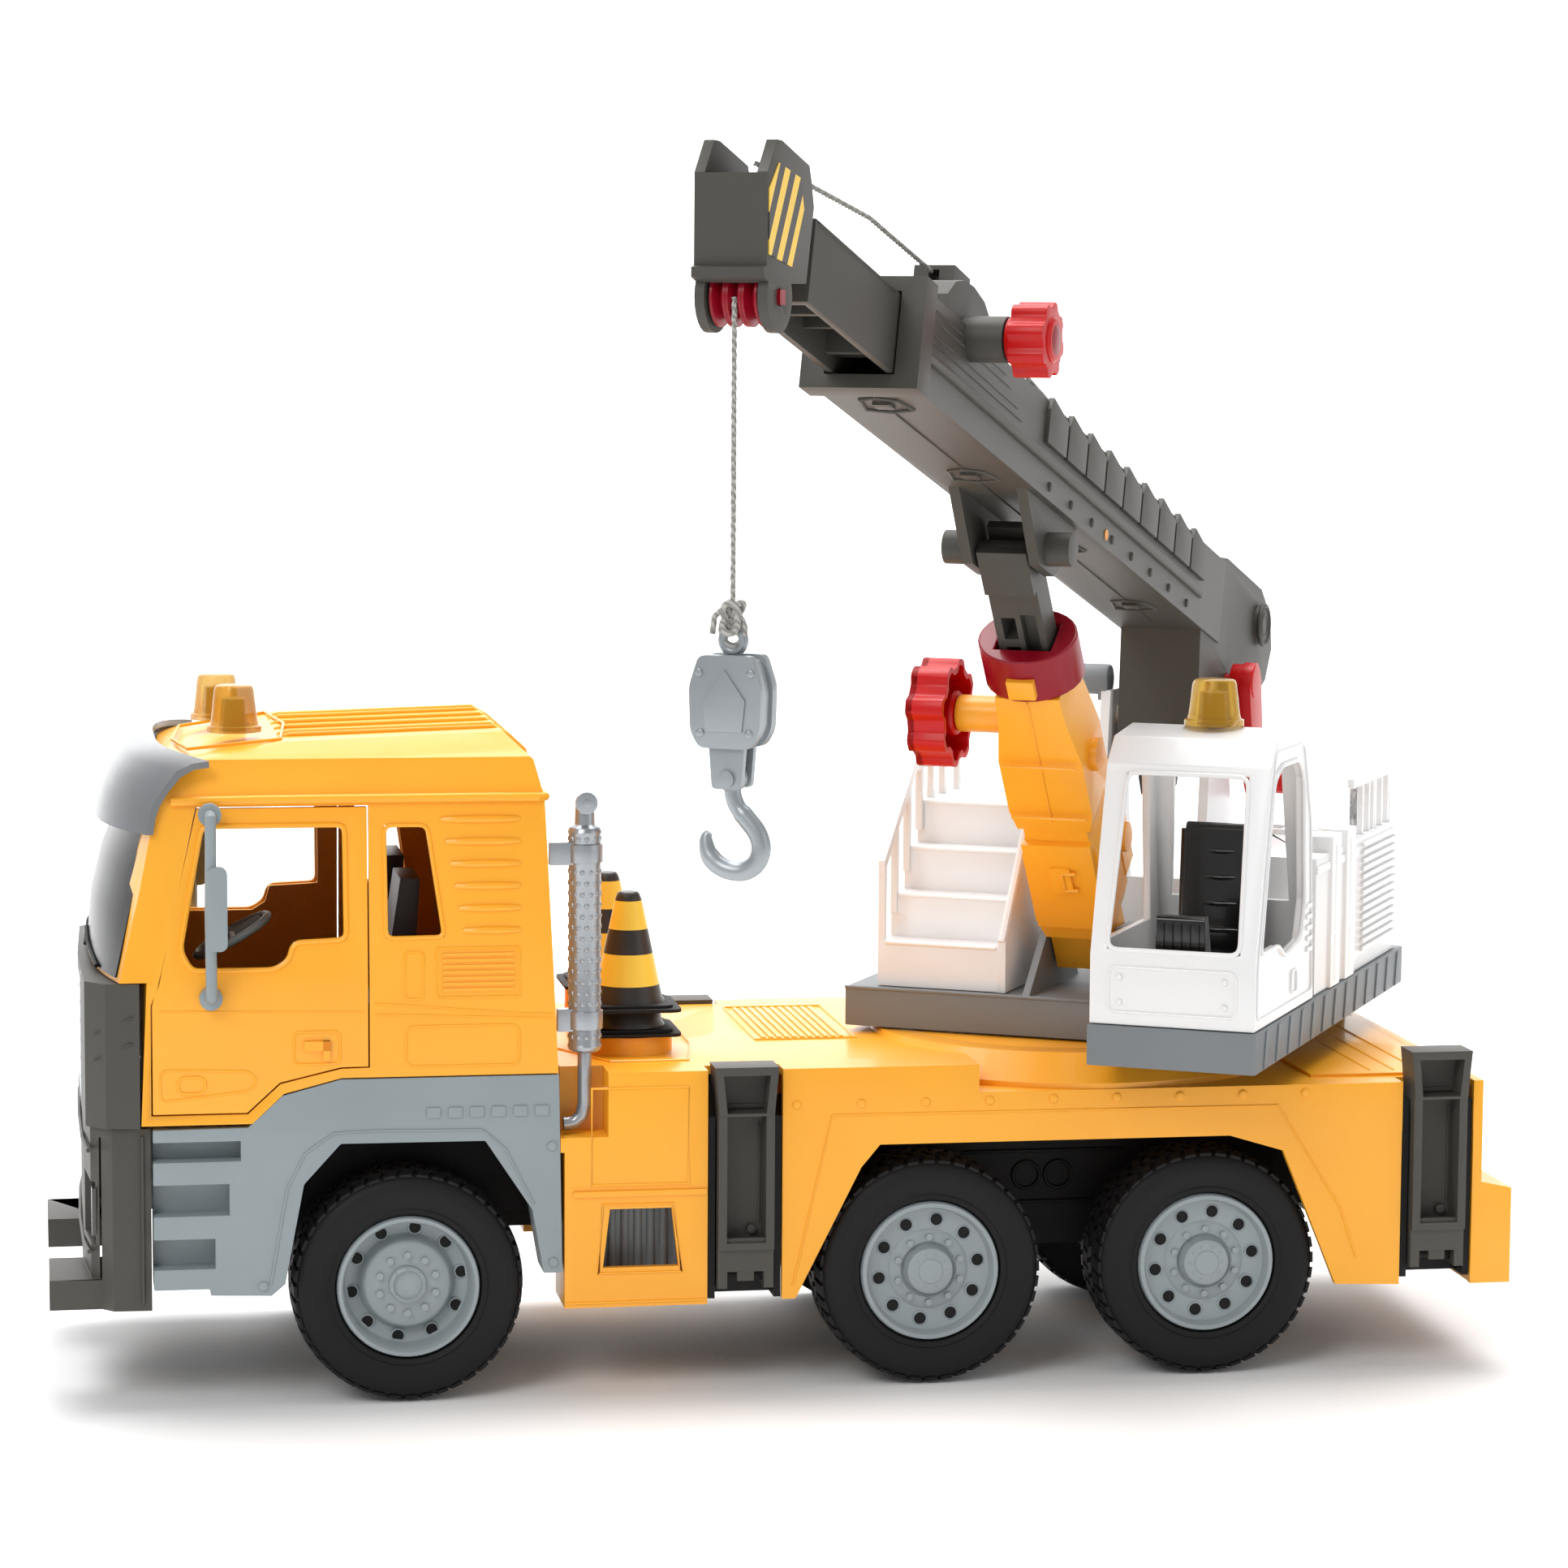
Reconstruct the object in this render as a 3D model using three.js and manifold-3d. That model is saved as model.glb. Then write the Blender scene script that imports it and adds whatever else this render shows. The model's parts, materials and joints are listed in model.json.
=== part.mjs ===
// Toy mobile crane truck. Millimetres, +Z up, the truck faces -X and its left
// (driver) side is -Y. The crane is slewed and luffed as it stands on display.
import * as THREE from 'three';
import { mergeVertices } from 'three/addons/utils/BufferGeometryUtils.js';
import Module from 'manifold-3d';

const wasm = await Module();
wasm.setup();

// ---- driving dimensions -------------------------------------------------
const SHIFT_X = 5.477, SHIFT_Y = 86.649;        // puts the origin at the bottom centre of the box
const W = 80;                              // half width of the body
const WALL = 3;                            // moulded wall
const GAP = 0.35;                          // gap between neighbouring mouldings
const AXLES = [-147.7, 39, 140.9];         // axle positions along the truck
const TYRE_R = 41, TYRE_IN = 25.4, TYRE_Y0 = 48, TYRE_Y1 = 78, RIM_R = 25;
const LOW_DECK = 106, HIGH_DECK = 116, HIGH_DECK_END = 55.5;
const SLEW_X = 119, SLEW_DEG = 60;         // turntable axis and the slew of the display pose
const PLAT_Z0 = 118.4, PLAT_Z1 = 133;
const PIVOT_X = 85, PIVOT_Z = 226, LUFF_DEG = 15.5;  // boom pivot, crane frame
const BOOM_W = 17, BOOM_V0 = 31.5, BOOM_V1 = 64, BOOM_LEN = 388;
const KNOB_U = -332, KNOB_V = 61;
const CONE_X = -64, CONE_Z = 122.8, CONE_H = 42, CONE_STEP = 8.8;
const INNER_W = 11, INNER_V0 = 35, INNER_V1 = 60.5, INNER_U0 = 130, INNER_U1 = 468;
const JACK_X = -14, JACK_Z = 150, JACK_DEG = -35.147;  // jack base pivot and lean, crane frame
const HOOK_F = 387.7;                      // the line hangs this far forward of the slew axis
const LEG_XS = [-28.8, 226];               // outrigger legs along the truck
const LEG_HINGE_Y = 74.5, LEG_HINGE_Z = 42;

// ---- helpers ------------------------------------------------------------
function solid(g) {
  g = g.index ? g.clone() : g.clone();
  g.deleteAttribute('normal'); g.deleteAttribute('uv');
  g = mergeVertices(g, 1e-4);
  const p = g.attributes.position.array, idx = Array.from(g.index.array), t = [];
  for (let i = 0; i < idx.length; i += 3) {
    const [a, b, c] = [idx[i], idx[i + 1], idx[i + 2]];
    if (a !== b && b !== c && a !== c) t.push(a, b, c);
  }
  let vol = 0;
  for (let i = 0; i < t.length; i += 3) {
    const [a, b, c] = [t[i] * 3, t[i + 1] * 3, t[i + 2] * 3];
    vol += p[a] * (p[b + 1] * p[c + 2] - p[b + 2] * p[c + 1]) - p[a + 1] * (p[b] * p[c + 2] - p[b + 2] * p[c]) + p[a + 2] * (p[b] * p[c + 1] - p[b + 1] * p[c]);
  }
  if (vol < 0) for (let i = 0; i < t.length; i += 3) { const k = t[i]; t[i] = t[i + 1]; t[i + 1] = k; }
  return new wasm.Manifold(new wasm.Mesh({ numProp: 3, vertProperties: new Float32Array(p), triVerts: new Uint32Array(t) }));
}
function geometry(m) {
  const k = m.getMesh(), g = new THREE.BufferGeometry();
  g.setAttribute('position', new THREE.BufferAttribute(new Float32Array(k.vertProperties), 3));
  g.setIndex(new THREE.BufferAttribute(new Uint32Array(k.triVerts), 1));
  g.computeVertexNormals();
  return g;
}
const add = (...a) => a.reduce((x, y) => x.add(y));
const cut = (a, ...b) => b.reduce((x, y) => x.subtract(y), a);
const box = (x0, x1, y0, y1, z0, z1) => solid(new THREE.BoxGeometry(x1 - x0, y1 - y0, z1 - z0).translate((x0 + x1) / 2, (y0 + y1) / 2, (z0 + z1) / 2));
const shapeOf = pts => new THREE.Shape(pts.map(p => new THREE.Vector2(p[0], p[1])));
const ext = (pts, d) => new THREE.ExtrudeGeometry(shapeOf(pts), { depth: d, bevelEnabled: false, steps: 1 });
// outline in (x, z), from y0 to y1
const prismY = (pts, y0, y1) => solid(ext(pts, y1 - y0).rotateX(Math.PI / 2).translate(0, y1, 0));
// outline in (y, z), from x0 to x1
const PERM = new THREE.Matrix4().makeBasis(new THREE.Vector3(0, 1, 0), new THREE.Vector3(0, 0, 1), new THREE.Vector3(1, 0, 0));
const prismX = (pts, x0, x1) => solid(ext(pts, x1 - x0).applyMatrix4(PERM).translate(x0, 0, 0));
// outline in (x, y), from z0 to z1
const prismZ = (pts, z0, z1) => solid(ext(pts, z1 - z0).translate(0, 0, z0));
const cyl = (r, h, n, r2 = r) => new THREE.CylinderGeometry(r2, r, h, n);
const cylY = (x, z, r, y0, y1, n = 24) => solid(cyl(r, y1 - y0, n).translate(x, (y0 + y1) / 2, z));
const cylZ = (x, y, r, z0, z1, n = 24, r2 = r) => solid(cyl(r, z1 - z0, n, r2).rotateX(Math.PI / 2).translate(x, y, (z0 + z1) / 2));
const cylX = (y, z, r, x0, x1, n = 24) => solid(cyl(r, x1 - x0, n).rotateZ(Math.PI / 2).translate((x0 + x1) / 2, y, z));
const ring = (r, n, cx = 0, cy = 0, a0 = 0) => Array.from({ length: n }, (_, i) => [cx + r * Math.cos(a0 + i * 2 * Math.PI / n), cy + r * Math.sin(a0 + i * 2 * Math.PI / n)]);
const lathe = (prof, n = 24) => new THREE.LatheGeometry(prof.map(p => new THREE.Vector2(p[0], p[1])), n);
const latheZ = (x, y, prof, n = 24) => solid(lathe(prof, n).rotateX(Math.PI / 2).translate(x, y, 0));
const latheY = (x, z, prof, n = 24) => solid(lathe(prof, n).translate(x, 0, z));
const tube = (pts, r, sides = 8, steps = 12) => {
  const path = new THREE.CatmullRomCurve3(pts.map(p => new THREE.Vector3(...p)));
  return solid(new THREE.ExtrudeGeometry(shapeOf(ring(r, sides)), { steps, bevelEnabled: false, extrudePath: path }));
};
const flipY = pts => pts.map(p => [p[0], -p[1]]).reverse();
const mirrorY = m => {             // the same moulding on the other side of the truck
  const k = m.getMesh(), v = new Float32Array(k.vertProperties), t = new Uint32Array(k.triVerts);
  for (let i = 1; i < v.length; i += 3) v[i] = -v[i];
  for (let i = 0; i < t.length; i += 3) { const q = t[i]; t[i] = t[i + 1]; t[i + 1] = q; }
  return new wasm.Manifold(new wasm.Mesh({ numProp: 3, vertProperties: v, triVerts: t }));
};
const mat = (hex, rough = 0.45, metal = 0) => new THREE.MeshStandardMaterial({ color: hex, roughness: rough, metalness: metal });
const ORANGE = 0xffb22d, GREY = 0x939c9f, DGREY = 0x4a4944, BLACK = 0x1b1b1f, WHITE = 0xf2f2f2, RED = 0xc20003, CRIMSON = 0xa3001f, AMBER = 0xd7aa3c, SILVER = 0xaaafb4;
function put(group, name, m, color, rough, metal) {
  const mesh = new THREE.Mesh(geometry(m), mat(color, rough, metal));
  mesh.name = name;
  group.add(mesh);
  return mesh;
}

const truck = new THREE.Group();
truck.position.set(SHIFT_X, SHIFT_Y, 0);

// ---- chassis with the two outrigger cross boxes -------------------------
{
  let m = box(-232, 233, -20, 20, 50, 88);
  m = cut(m, box(-228, 229, -16.5, 16.5, 46, 84));
  for (const x of [-180, -100, -60, 0, 90, 180]) m = add(m, box(x - 2, x + 2, -18, 18, 52, 85));
  for (const x of AXLES) {
    m = add(m, prismY([[x - 11, 52], [x - 7, 35], [x + 7, 35], [x + 11, 52]], -20, -14), prismY([[x - 11, 52], [x - 7, 35], [x + 7, 35], [x + 11, 52]], 14, 20));
    m = cut(m, cylY(x, TYRE_R, 3.8, -25, 25, 16));
  }
  for (const x of LEG_XS) {
    let h = add(box(x - 13, x + 13, -79, 79, 34, 87.6));
    h = cut(h, box(x - 10.6, x + 10.6, -90, -68.4, 20, 130), box(x - 10.6, x + 10.6, 68.4, 90, 20, 130));
    h = cut(h, box(x - 10, x + 10, -66.5, -23, 30, 85), box(x - 10, x + 10, 23, 66.5, 30, 85));
    for (const s of [-1, 1]) for (const e of [-1, 1]) {
      const xa = x + e * 13, xb = x + e * 10.6;
      h = add(h, box(Math.min(xa, xb), Math.max(xa, xb), Math.min(s * 70.6, s * 79), Math.max(s * 70.6, s * 79), 80, 99.2));
    }
    // hinge pins of the legs
    for (const s of [-1, 1]) h = add(h, cylX(s * LEG_HINGE_Y, LEG_HINGE_Z, 2.2, x - 12, x + 12, 12));
    m = add(m, h);
  }
  put(truck, 'chassis_frame', m, BLACK, 0.6);
}

// ---- deck body ----------------------------------------------------------
{
  const side = [[-93, LOW_DECK], [-93, 32.3], [-42.2, 32.3], [-42.2, 90], [-15.4, 90], [-15.4, 33.3], [-10.5, 33.3], [13, 80], [21, 89.5], [143, 89.5], [168, 82], [188.5, 32.3], [212.5, 31.5], [212.5, 90], [239.5, 90], [239.5, 31], [254.5, 31], [254.5, 66], [243, 68.5], [243, LOW_DECK]];
  let m = box(-94.5, 243, -W, W, 88, LOW_DECK);
  m = cut(m, box(-91.5, 240, -W + WALL, W - WALL, 80, LOW_DECK - WALL));
  m = add(m, prismY(side, -W, -W + WALL), prismY(side, W - WALL, W));
  let up = box(-94.5, HIGH_DECK_END, -W, W, LOW_DECK - 2, HIGH_DECK);
  m = add(m, up);
  m = cut(m, box(-91.5, HIGH_DECK_END - 3, -W + WALL, W - WALL, 96, HIGH_DECK - WALL));
  // rear wall and bumper step
  m = add(m, box(240, 243, -W, W, 31, LOW_DECK), cut(box(240, 254.5, -W, W, 31, 66), box(243, 251.5, -W + WALL, W - WALL, 29, 63)));
  // storage boxes ahead of the front outriggers, open on top into the deck
  for (const s of [-1, 1]) {
    const y0 = s < 0 ? -W : 52, y1 = s < 0 ? -52 : W;
    m = add(m, cut(box(-93, -42.2, y0, y1, 32.3, 100), box(-90, -45.2, y0 + WALL, y1 - WALL, 35.3, 101)));
    m = cut(m, prismY([[-77, 67.4], [-55, 67.4], [-52.5, 46.4], [-79.5, 46.4]], s < 0 ? -W - 1 : W - 4, s < 0 ? -W + 4 : W + 1));
  }
  m = cut(m, box(-91.5, -44, -W + WALL + 0.01, W - WALL - 0.01, 95, 104));
  // turntable plinth
  m = add(m, latheZ(104, 0, [[0, 104.5], [79, 104.5], [79, 107.5], [70, 117.6], [0, 117.6]], 36));
  m = cut(m, latheZ(104, 0, [[0, 100], [74, 100], [74, 105], [66, 114.4], [0, 114.4]], 36));
  m = add(m, box(100, 138, -77.5, -74, 92, 105), box(100, 138, 74, 77.5, 92, 105));
  m = cut(m, cylZ(SLEW_X, 0, 15, 100, 125, 24));
  // cone boss with its pegs
  for (const y of [-30, 30]) m = add(m, cylZ(CONE_X, y, 16, HIGH_DECK - 1, y < 0 ? CONE_Z - 0.4 : CONE_Z + CONE_STEP - 0.8, 24), cylZ(CONE_X, y, 4.4, 117, y < 0 ? 135 : 143, 12, 3));
  // notches: outrigger bays and the exhaust pipe
  for (const x of LEG_XS) for (const s of [-1, 1]) m = cut(m, box(x - 13.4, x + 13.4, s < 0 ? -W - 5 : 69.4, s < 0 ? -69.4 : W + 5, 20, 130));
  m = cut(m, box(-96, -77.5, -W - 2, -62, 93, 120));
  m = add(m, box(-77.6, -75, -W, -60, 93, HIGH_DECK), box(-93, -75, -64, -61, 93, HIGH_DECK), box(-93, -75, -W, -61, 90, 93.2));
  m = cut(m, cylY(-30, 30, 0.1, 200, 201, 3));
  put(truck, 'deck_body', m, ORANGE, 0.35);
}

// ---- cab: one shell that the doors and the windscreen are cut from ------
const cabOuter = [[-240, 101], [-240, 151], [-250.5, 151], [-243, 183], [-235, 213], [-228, 225], [-189, 232], [-112, 234.5], [-103, 226], [-99.7, 213], [-95.3, 116.4], [-171, 116.4], [-191, 111.3], [-202, 101]];
const cabInner = [[-237, 104.4], [-237, 154], [-246.6, 154], [-239.9, 182.5], [-232.2, 211.5], [-226.2, 222.2], [-188.5, 229], [-113, 231.4], [-106, 224.5], [-102.8, 212], [-98.6, 119.8], [-171.5, 119.8], [-192.4, 114.4], [-203, 104.4]];
const cabSection = [[-80, 100], [80, 100], [80, 150], [76, 213], [70, 227], [52, 236], [-52, 236], [-70, 227], [-76, 213], [-80, 150]];
const cabSectionIn = [[-77, 103], [77, 103], [77, 150], [73, 212], [67.5, 224.4], [50.5, 232.8], [-50.5, 232.8], [-67.5, 224.4], [-73, 212], [-77, 150]];
const cabSolid = prismY(cabOuter, -W, W).intersect(prismX(cabSection, -260, -90));
const cabVoid = prismY(cabInner, -W + WALL, W - WALL).intersect(prismX(cabSectionIn, -260, -90));
const shell = cut(cabSolid, cabVoid, box(-260, -236, -66, 66, 100, 150));
const doorBig = [[-220.6, 211.2], [-236.6, 143], [-236.6, 104.4], [-203.4, 104.4], [-192.2, 114.7], [-171.2, 119.6], [-161.2, 119.8], [-161.2, 211.2]];
const doorSmall = [[-220.2, 210.7], [-236.1, 142.9], [-236.1, 104.9], [-203.7, 104.9], [-192.4, 115.2], [-171.3, 120.1], [-161.7, 120.2], [-161.7, 210.7]];
const doorWindow = [[-218.6, 204.6], [-226.3, 162], [-222.5, 154.8], [-194, 154.8], [-189, 158], [-187.5, 164], [-169.2, 164.8], [-169.5, 204.6]];
const quarter = [[-155.8, 204.2], [-155.4, 164.9], [-135.1, 165.1], [-140.9, 204.2]];
{
  let m = cut(shell, prismY(doorBig, -95, -60), prismY(doorBig, 60, 95), prismY(quarter, -95, 95));
  m = cut(m, prismX([[-70, 154], [70, 154], [66, 204], [-66, 204]], -260, -225));
  put(truck, 'cab_shell', m, ORANGE, 0.35);
  put(truck, 'windshield', cut(shell.intersect(prismX([[-69.6, 154.4], [69.6, 154.4], [65.6, 203.6], [-65.6, 203.6]], -260, -225))), 0x2a2b30, 0.1);
  for (const [name, s] of [['left', -1], ['right', 1]]) {
    const d = cut(shell.intersect(prismY(doorSmall, s < 0 ? -95 : 60, s < 0 ? -60 : 95)), prismY(doorWindow, s < 0 ? -95 : 60, s < 0 ? -60 : 95));
    put(truck, 'door_' + name, d, ORANGE, 0.35);
    let a = add(box(-219, -213, -90, -86, 147, 209), box(-218.5, -213.5, -88, -80.4, 204.5, 209.5), box(-218.5, -213.5, -88, -80.4, 145, 150), box(-216, -211, -92, -88.5, 163, 192), box(-216, -213.5, -89, -87, 165, 190));
    put(truck, 'mirror_' + name, s < 0 ? a : mirrorY(a), GREY, 0.5);
  }
}
{ // interior: floor, dash, two seats and the steering column with its wheel
  let m = box(-202, -101, -72, 72, 120.4, 123.4);
  m = add(m, prismY([[-236, 120.4], [-236, 152], [-228, 153], [-221, 146], [-219, 131], [-226, 123.4], [-202, 123.4], [-202, 120.4]], -72, 72));
  for (const y of [-52, 16]) m = add(m, box(-186, -146, y, y + 36, 122, 138), prismY([[-155, 136], [-148, 182], [-141, 182], [-145, 123]], y + 2, y + 34));
  const wheel = solid(lathe([[12.6, -1.6], [15.6, -1.6], [15.6, 1.6], [12.6, 1.6], [12.6, -1.6]], 24).rotateX(Math.PI / 2).rotateY(-0.5).translate(-206, -36, 160));
  const spoke = solid(new THREE.BoxGeometry(3, 28, 2).rotateY(-0.5).translate(-206, -36, 160));
  const column = solid(new THREE.BoxGeometry(20, 4, 4).rotateY(0.75).translate(-208, -36, 157));
  const column2 = solid(new THREE.BoxGeometry(30, 5, 5).rotateY(0.75).translate(-217, -36, 148));
  m = add(m, wheel, spoke, column, column2);
  m = m.decompose().sort((a, b) => b.volume() - a.volume())[0];
  put(truck, 'cab_interior', m, 0x1c1716, 0.5);
}
put(truck, 'sun_visor', add(prismY([[-254, 203], [-251.5, 213.5], [-243.5, 226.8], [-232.5, 229.6], [-232.3, 227.4], [-242, 224.6], [-249.3, 212.8], [-251.6, 203]], -75, 75), prismY([[-252, 205], [-250, 213], [-242.8, 225.5], [-238.5, 226], [-238, 212], [-240, 205]], -75, -73), prismY([[-252, 205], [-250, 213], [-242.8, 225.5], [-238.5, 226], [-238, 212], [-240, 205]], 73, 75)), 0x8d9092, 0.2);
const beaconProfile = (z, h, r) => [[0, z], [r * 1.14, z], [r * 1.14, z + 2.2], [r, z + 2.6], [r * 0.84, z + h - 1.5], [r * 0.76, z + h], [0, z + h]];
put(truck, 'beacon_left', latheZ(-205, -30, beaconProfile(233, 16.5, 8.4), 20), AMBER, 0.15);
put(truck, 'beacon_right', latheZ(-209, 24, beaconProfile(232.6, 16.5, 8.4), 20), AMBER, 0.15);

// front: corner panel moulding with its grille slats, and the bumper
{
  let m = prismZ([[-240.4, -79.6], [-252, -78], [-259, -70], [-260, -40], [-260.5, 0], [-260, 40], [-259, 70], [-252, 78], [-240.4, 79.6]], 100, 150.6);
  m = cut(m, box(-256.5, -236, -66.5, 66.5, 97, 147.6), box(-265, -250, -38, 38, 104, 147));
  for (let i = 0; i < 6; i++) m = add(m, box(-258.8, -256.6, -38.5, 38.5, 107 + i * 6.6, 109.4 + i * 6.6));
  m = add(m, box(-258.2, -256.8, -1, 1, 103, 148));
  put(truck, 'front_panel', m, DGREY, 0.45);
  let b = prismZ([[-236.8, -77], [-250, -76.5], [-257.5, -68], [-259.5, -40], [-260, 0], [-259.5, 40], [-257.5, 68], [-250, 76.5], [-236.8, 77]], 35.4, 99.6);
  b = cut(b, box(-254.5, -230, -72, 72, 30, 96));
  for (const s of [-1, 1]) b = add(b, box(-272, -250, s < 0 ? -72 : 34, s < 0 ? -34 : 72, 35.4, 46));
  for (const s of [-1, 1]) b = cut(b, box(-264, -255.5, s < 0 ? -72 : 44, s < 0 ? -44 : 72, 58, 80));
  put(truck, 'front_bumper', b, DGREY, 0.45);
}
{ // steps and wheel arches of the cab, one moulding joined behind the seats
  const prof = [[-236.2, 43], [-236.2, 99.4], [-203.4, 99.7], [-191.6, 110.6], [-171.4, 115.9], [-95, 115.9], [-93.8, 45.2], [-100.5, 45.2], [-104.5, 68], [-121, 92.9], [-171.4, 93.1], [-184.2, 79.1], [-190.9, 44], [-195.6, 40], [-216.7, 40.7], [-217, 43]];
  let m = prismY(prof, -W, -62);
  for (const [z0, z1, x1] of [[88, 95, -206], [69, 80, -210], [50.3, 60.8, -215]]) m = cut(m, box(-240, x1, -W - 1, -70, z0, z1));
  m = add(m, mirrorY(m), box(-130, -98, -63, 63, 96, 99.5), box(-112, -98, -63, 63, 93, 99.5));
  put(truck, 'cab_fenders', cut(m, box(-240, -90, -20.4, 20.4, 40, 88.4)), GREY, 0.45);
}
{ // exhaust stack with its brackets
  let m = latheZ(-85, -71, [[0, 122.5], [5.2, 122.5], [6.2, 124], [6.2, 200.5], [5.2, 202], [3.6, 203], [3.6, 208], [0, 208]], 16);
  m = add(m, cylY(-85, 210, 4, -77, -68, 16));
  m = add(m, tube([[-85, -71, 124], [-85, -71, 112], [-85, -71, 103], [-86.5, -71, 98.6], [-90.5, -71, 96.8], [-92.6, -71, 96.6]], 2.6, 8, 8));
  m = add(m, box(-98.1, -84, -74, -68, 189, 197), box(-95.2, -84, -74, -68, 130, 138));
  put(truck, 'exhaust_stack', m, SILVER, 0.2, 1);
}

// ---- wheels -------------------------------------------------------------
const AX = ['front', 'middle', 'rear'];
AXLES.forEach((x, i) => {
  put(truck, 'axle_' + AX[i], cylY(x, TYRE_R, 3, -50, 50, 12), SILVER, 0.3, 1);
  for (const [sn, s] of [['left', -1], ['right', 1]]) {
    const tyre = latheY(x, TYRE_R, [[TYRE_IN, 50], [37.5, TYRE_Y0], [TYRE_R, 53], [TYRE_R, 73], [37.5, TYRE_Y1], [TYRE_IN, 76], [TYRE_IN, 50]], 22);
    const deep = i === 0;
    const rim = cut(latheY(x, TYRE_R, deep
      ? [[0, 50.6], [14, 50.6], [14, 61], [21, 61], [21, 51], [RIM_R, 51], [RIM_R, 76.8], [22.4, 76.8], [20, 65], [0, 69.5]]
      : [[0, 50.6], [14, 50.6], [14, 67], [21, 67], [21, 51], [RIM_R, 51], [RIM_R, 76.8], [22.4, 76.8], [21, 73], [9, 72], [8.5, 77.4], [0, 77.6]], 18),
      box(0, 1, 0, 1, -2, -1));
    put(truck, `tyre_${AX[i]}_${sn}`, s < 0 ? mirrorY(tyre) : tyre, BLACK, 0.7);
    put(truck, `rim_${AX[i]}_${sn}`, s < 0 ? mirrorY(rim) : rim, GREY, 0.4);
  }
});

// ---- outrigger legs -----------------------------------------------------
LEG_XS.forEach((x, i) => {
  for (const [sn, s] of [['left', -1], ['right', 1]]) {
    let m = box(x - 10, x + 10, -83.5, -70, 52, 101);
    m = cut(m, box(x - 7, x + 7, -90, -73, 54.5, 101.5));
    m = add(m, box(x - 10, x - 6.6, -82, -70, 38, 54), box(x + 6.6, x + 10, -82, -70, 38, 54), box(x - 10, x + 10, -82, -79.6, 44, 56));
    m = add(m, prismY([[x - 11.4, 117.5], [x + 11.4, 117.5], [x + 9.8, 100], [x - 9.8, 100]], -84, -70));
    m = cut(m, prismY([[x - 8.4, 114.5], [x + 8.4, 114.5], [x + 7, 101], [x - 7, 101]], -90, -74));
    m = cut(m, cylX(-LEG_HINGE_Y, LEG_HINGE_Z, 2.7, x - 15, x + 15, 12));
    put(truck, `outrigger_leg_${i ? 'rear' : 'front'}_${sn}`, s < 0 ? m : mirrorY(m), DGREY, 0.5);
  }
});

// ---- traffic cones on their pegs ---------------------------------------
const coneShell = (x, y, z) => {
  const prof = [[0, z + CONE_H], [3.9, z + CONE_H], [5, z + CONE_H - 2], [12.6, z + 2.6], [12.6, z], [11.6, z], [4.8, z + 33.6], [0, z + 33.6]];
  return cut(add(latheZ(x, y, prof, 16), cut(box(x - 17.5, x + 17.5, y - 17.5, y + 17.5, z, z + 2.2), cylZ(x, y, 12, z - 1, z + 4, 16))));
};
put(truck, 'cone_near_lower', coneShell(CONE_X, -30, CONE_Z), 0x2d2a28, 0.5);
put(truck, 'cone_near_upper', coneShell(CONE_X, -30, CONE_Z + CONE_STEP), 0xffd246, 0.5);
put(truck, 'cone_far', coneShell(CONE_X, 30, CONE_Z + CONE_STEP - 0.4), 0xffd246, 0.5);

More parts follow.
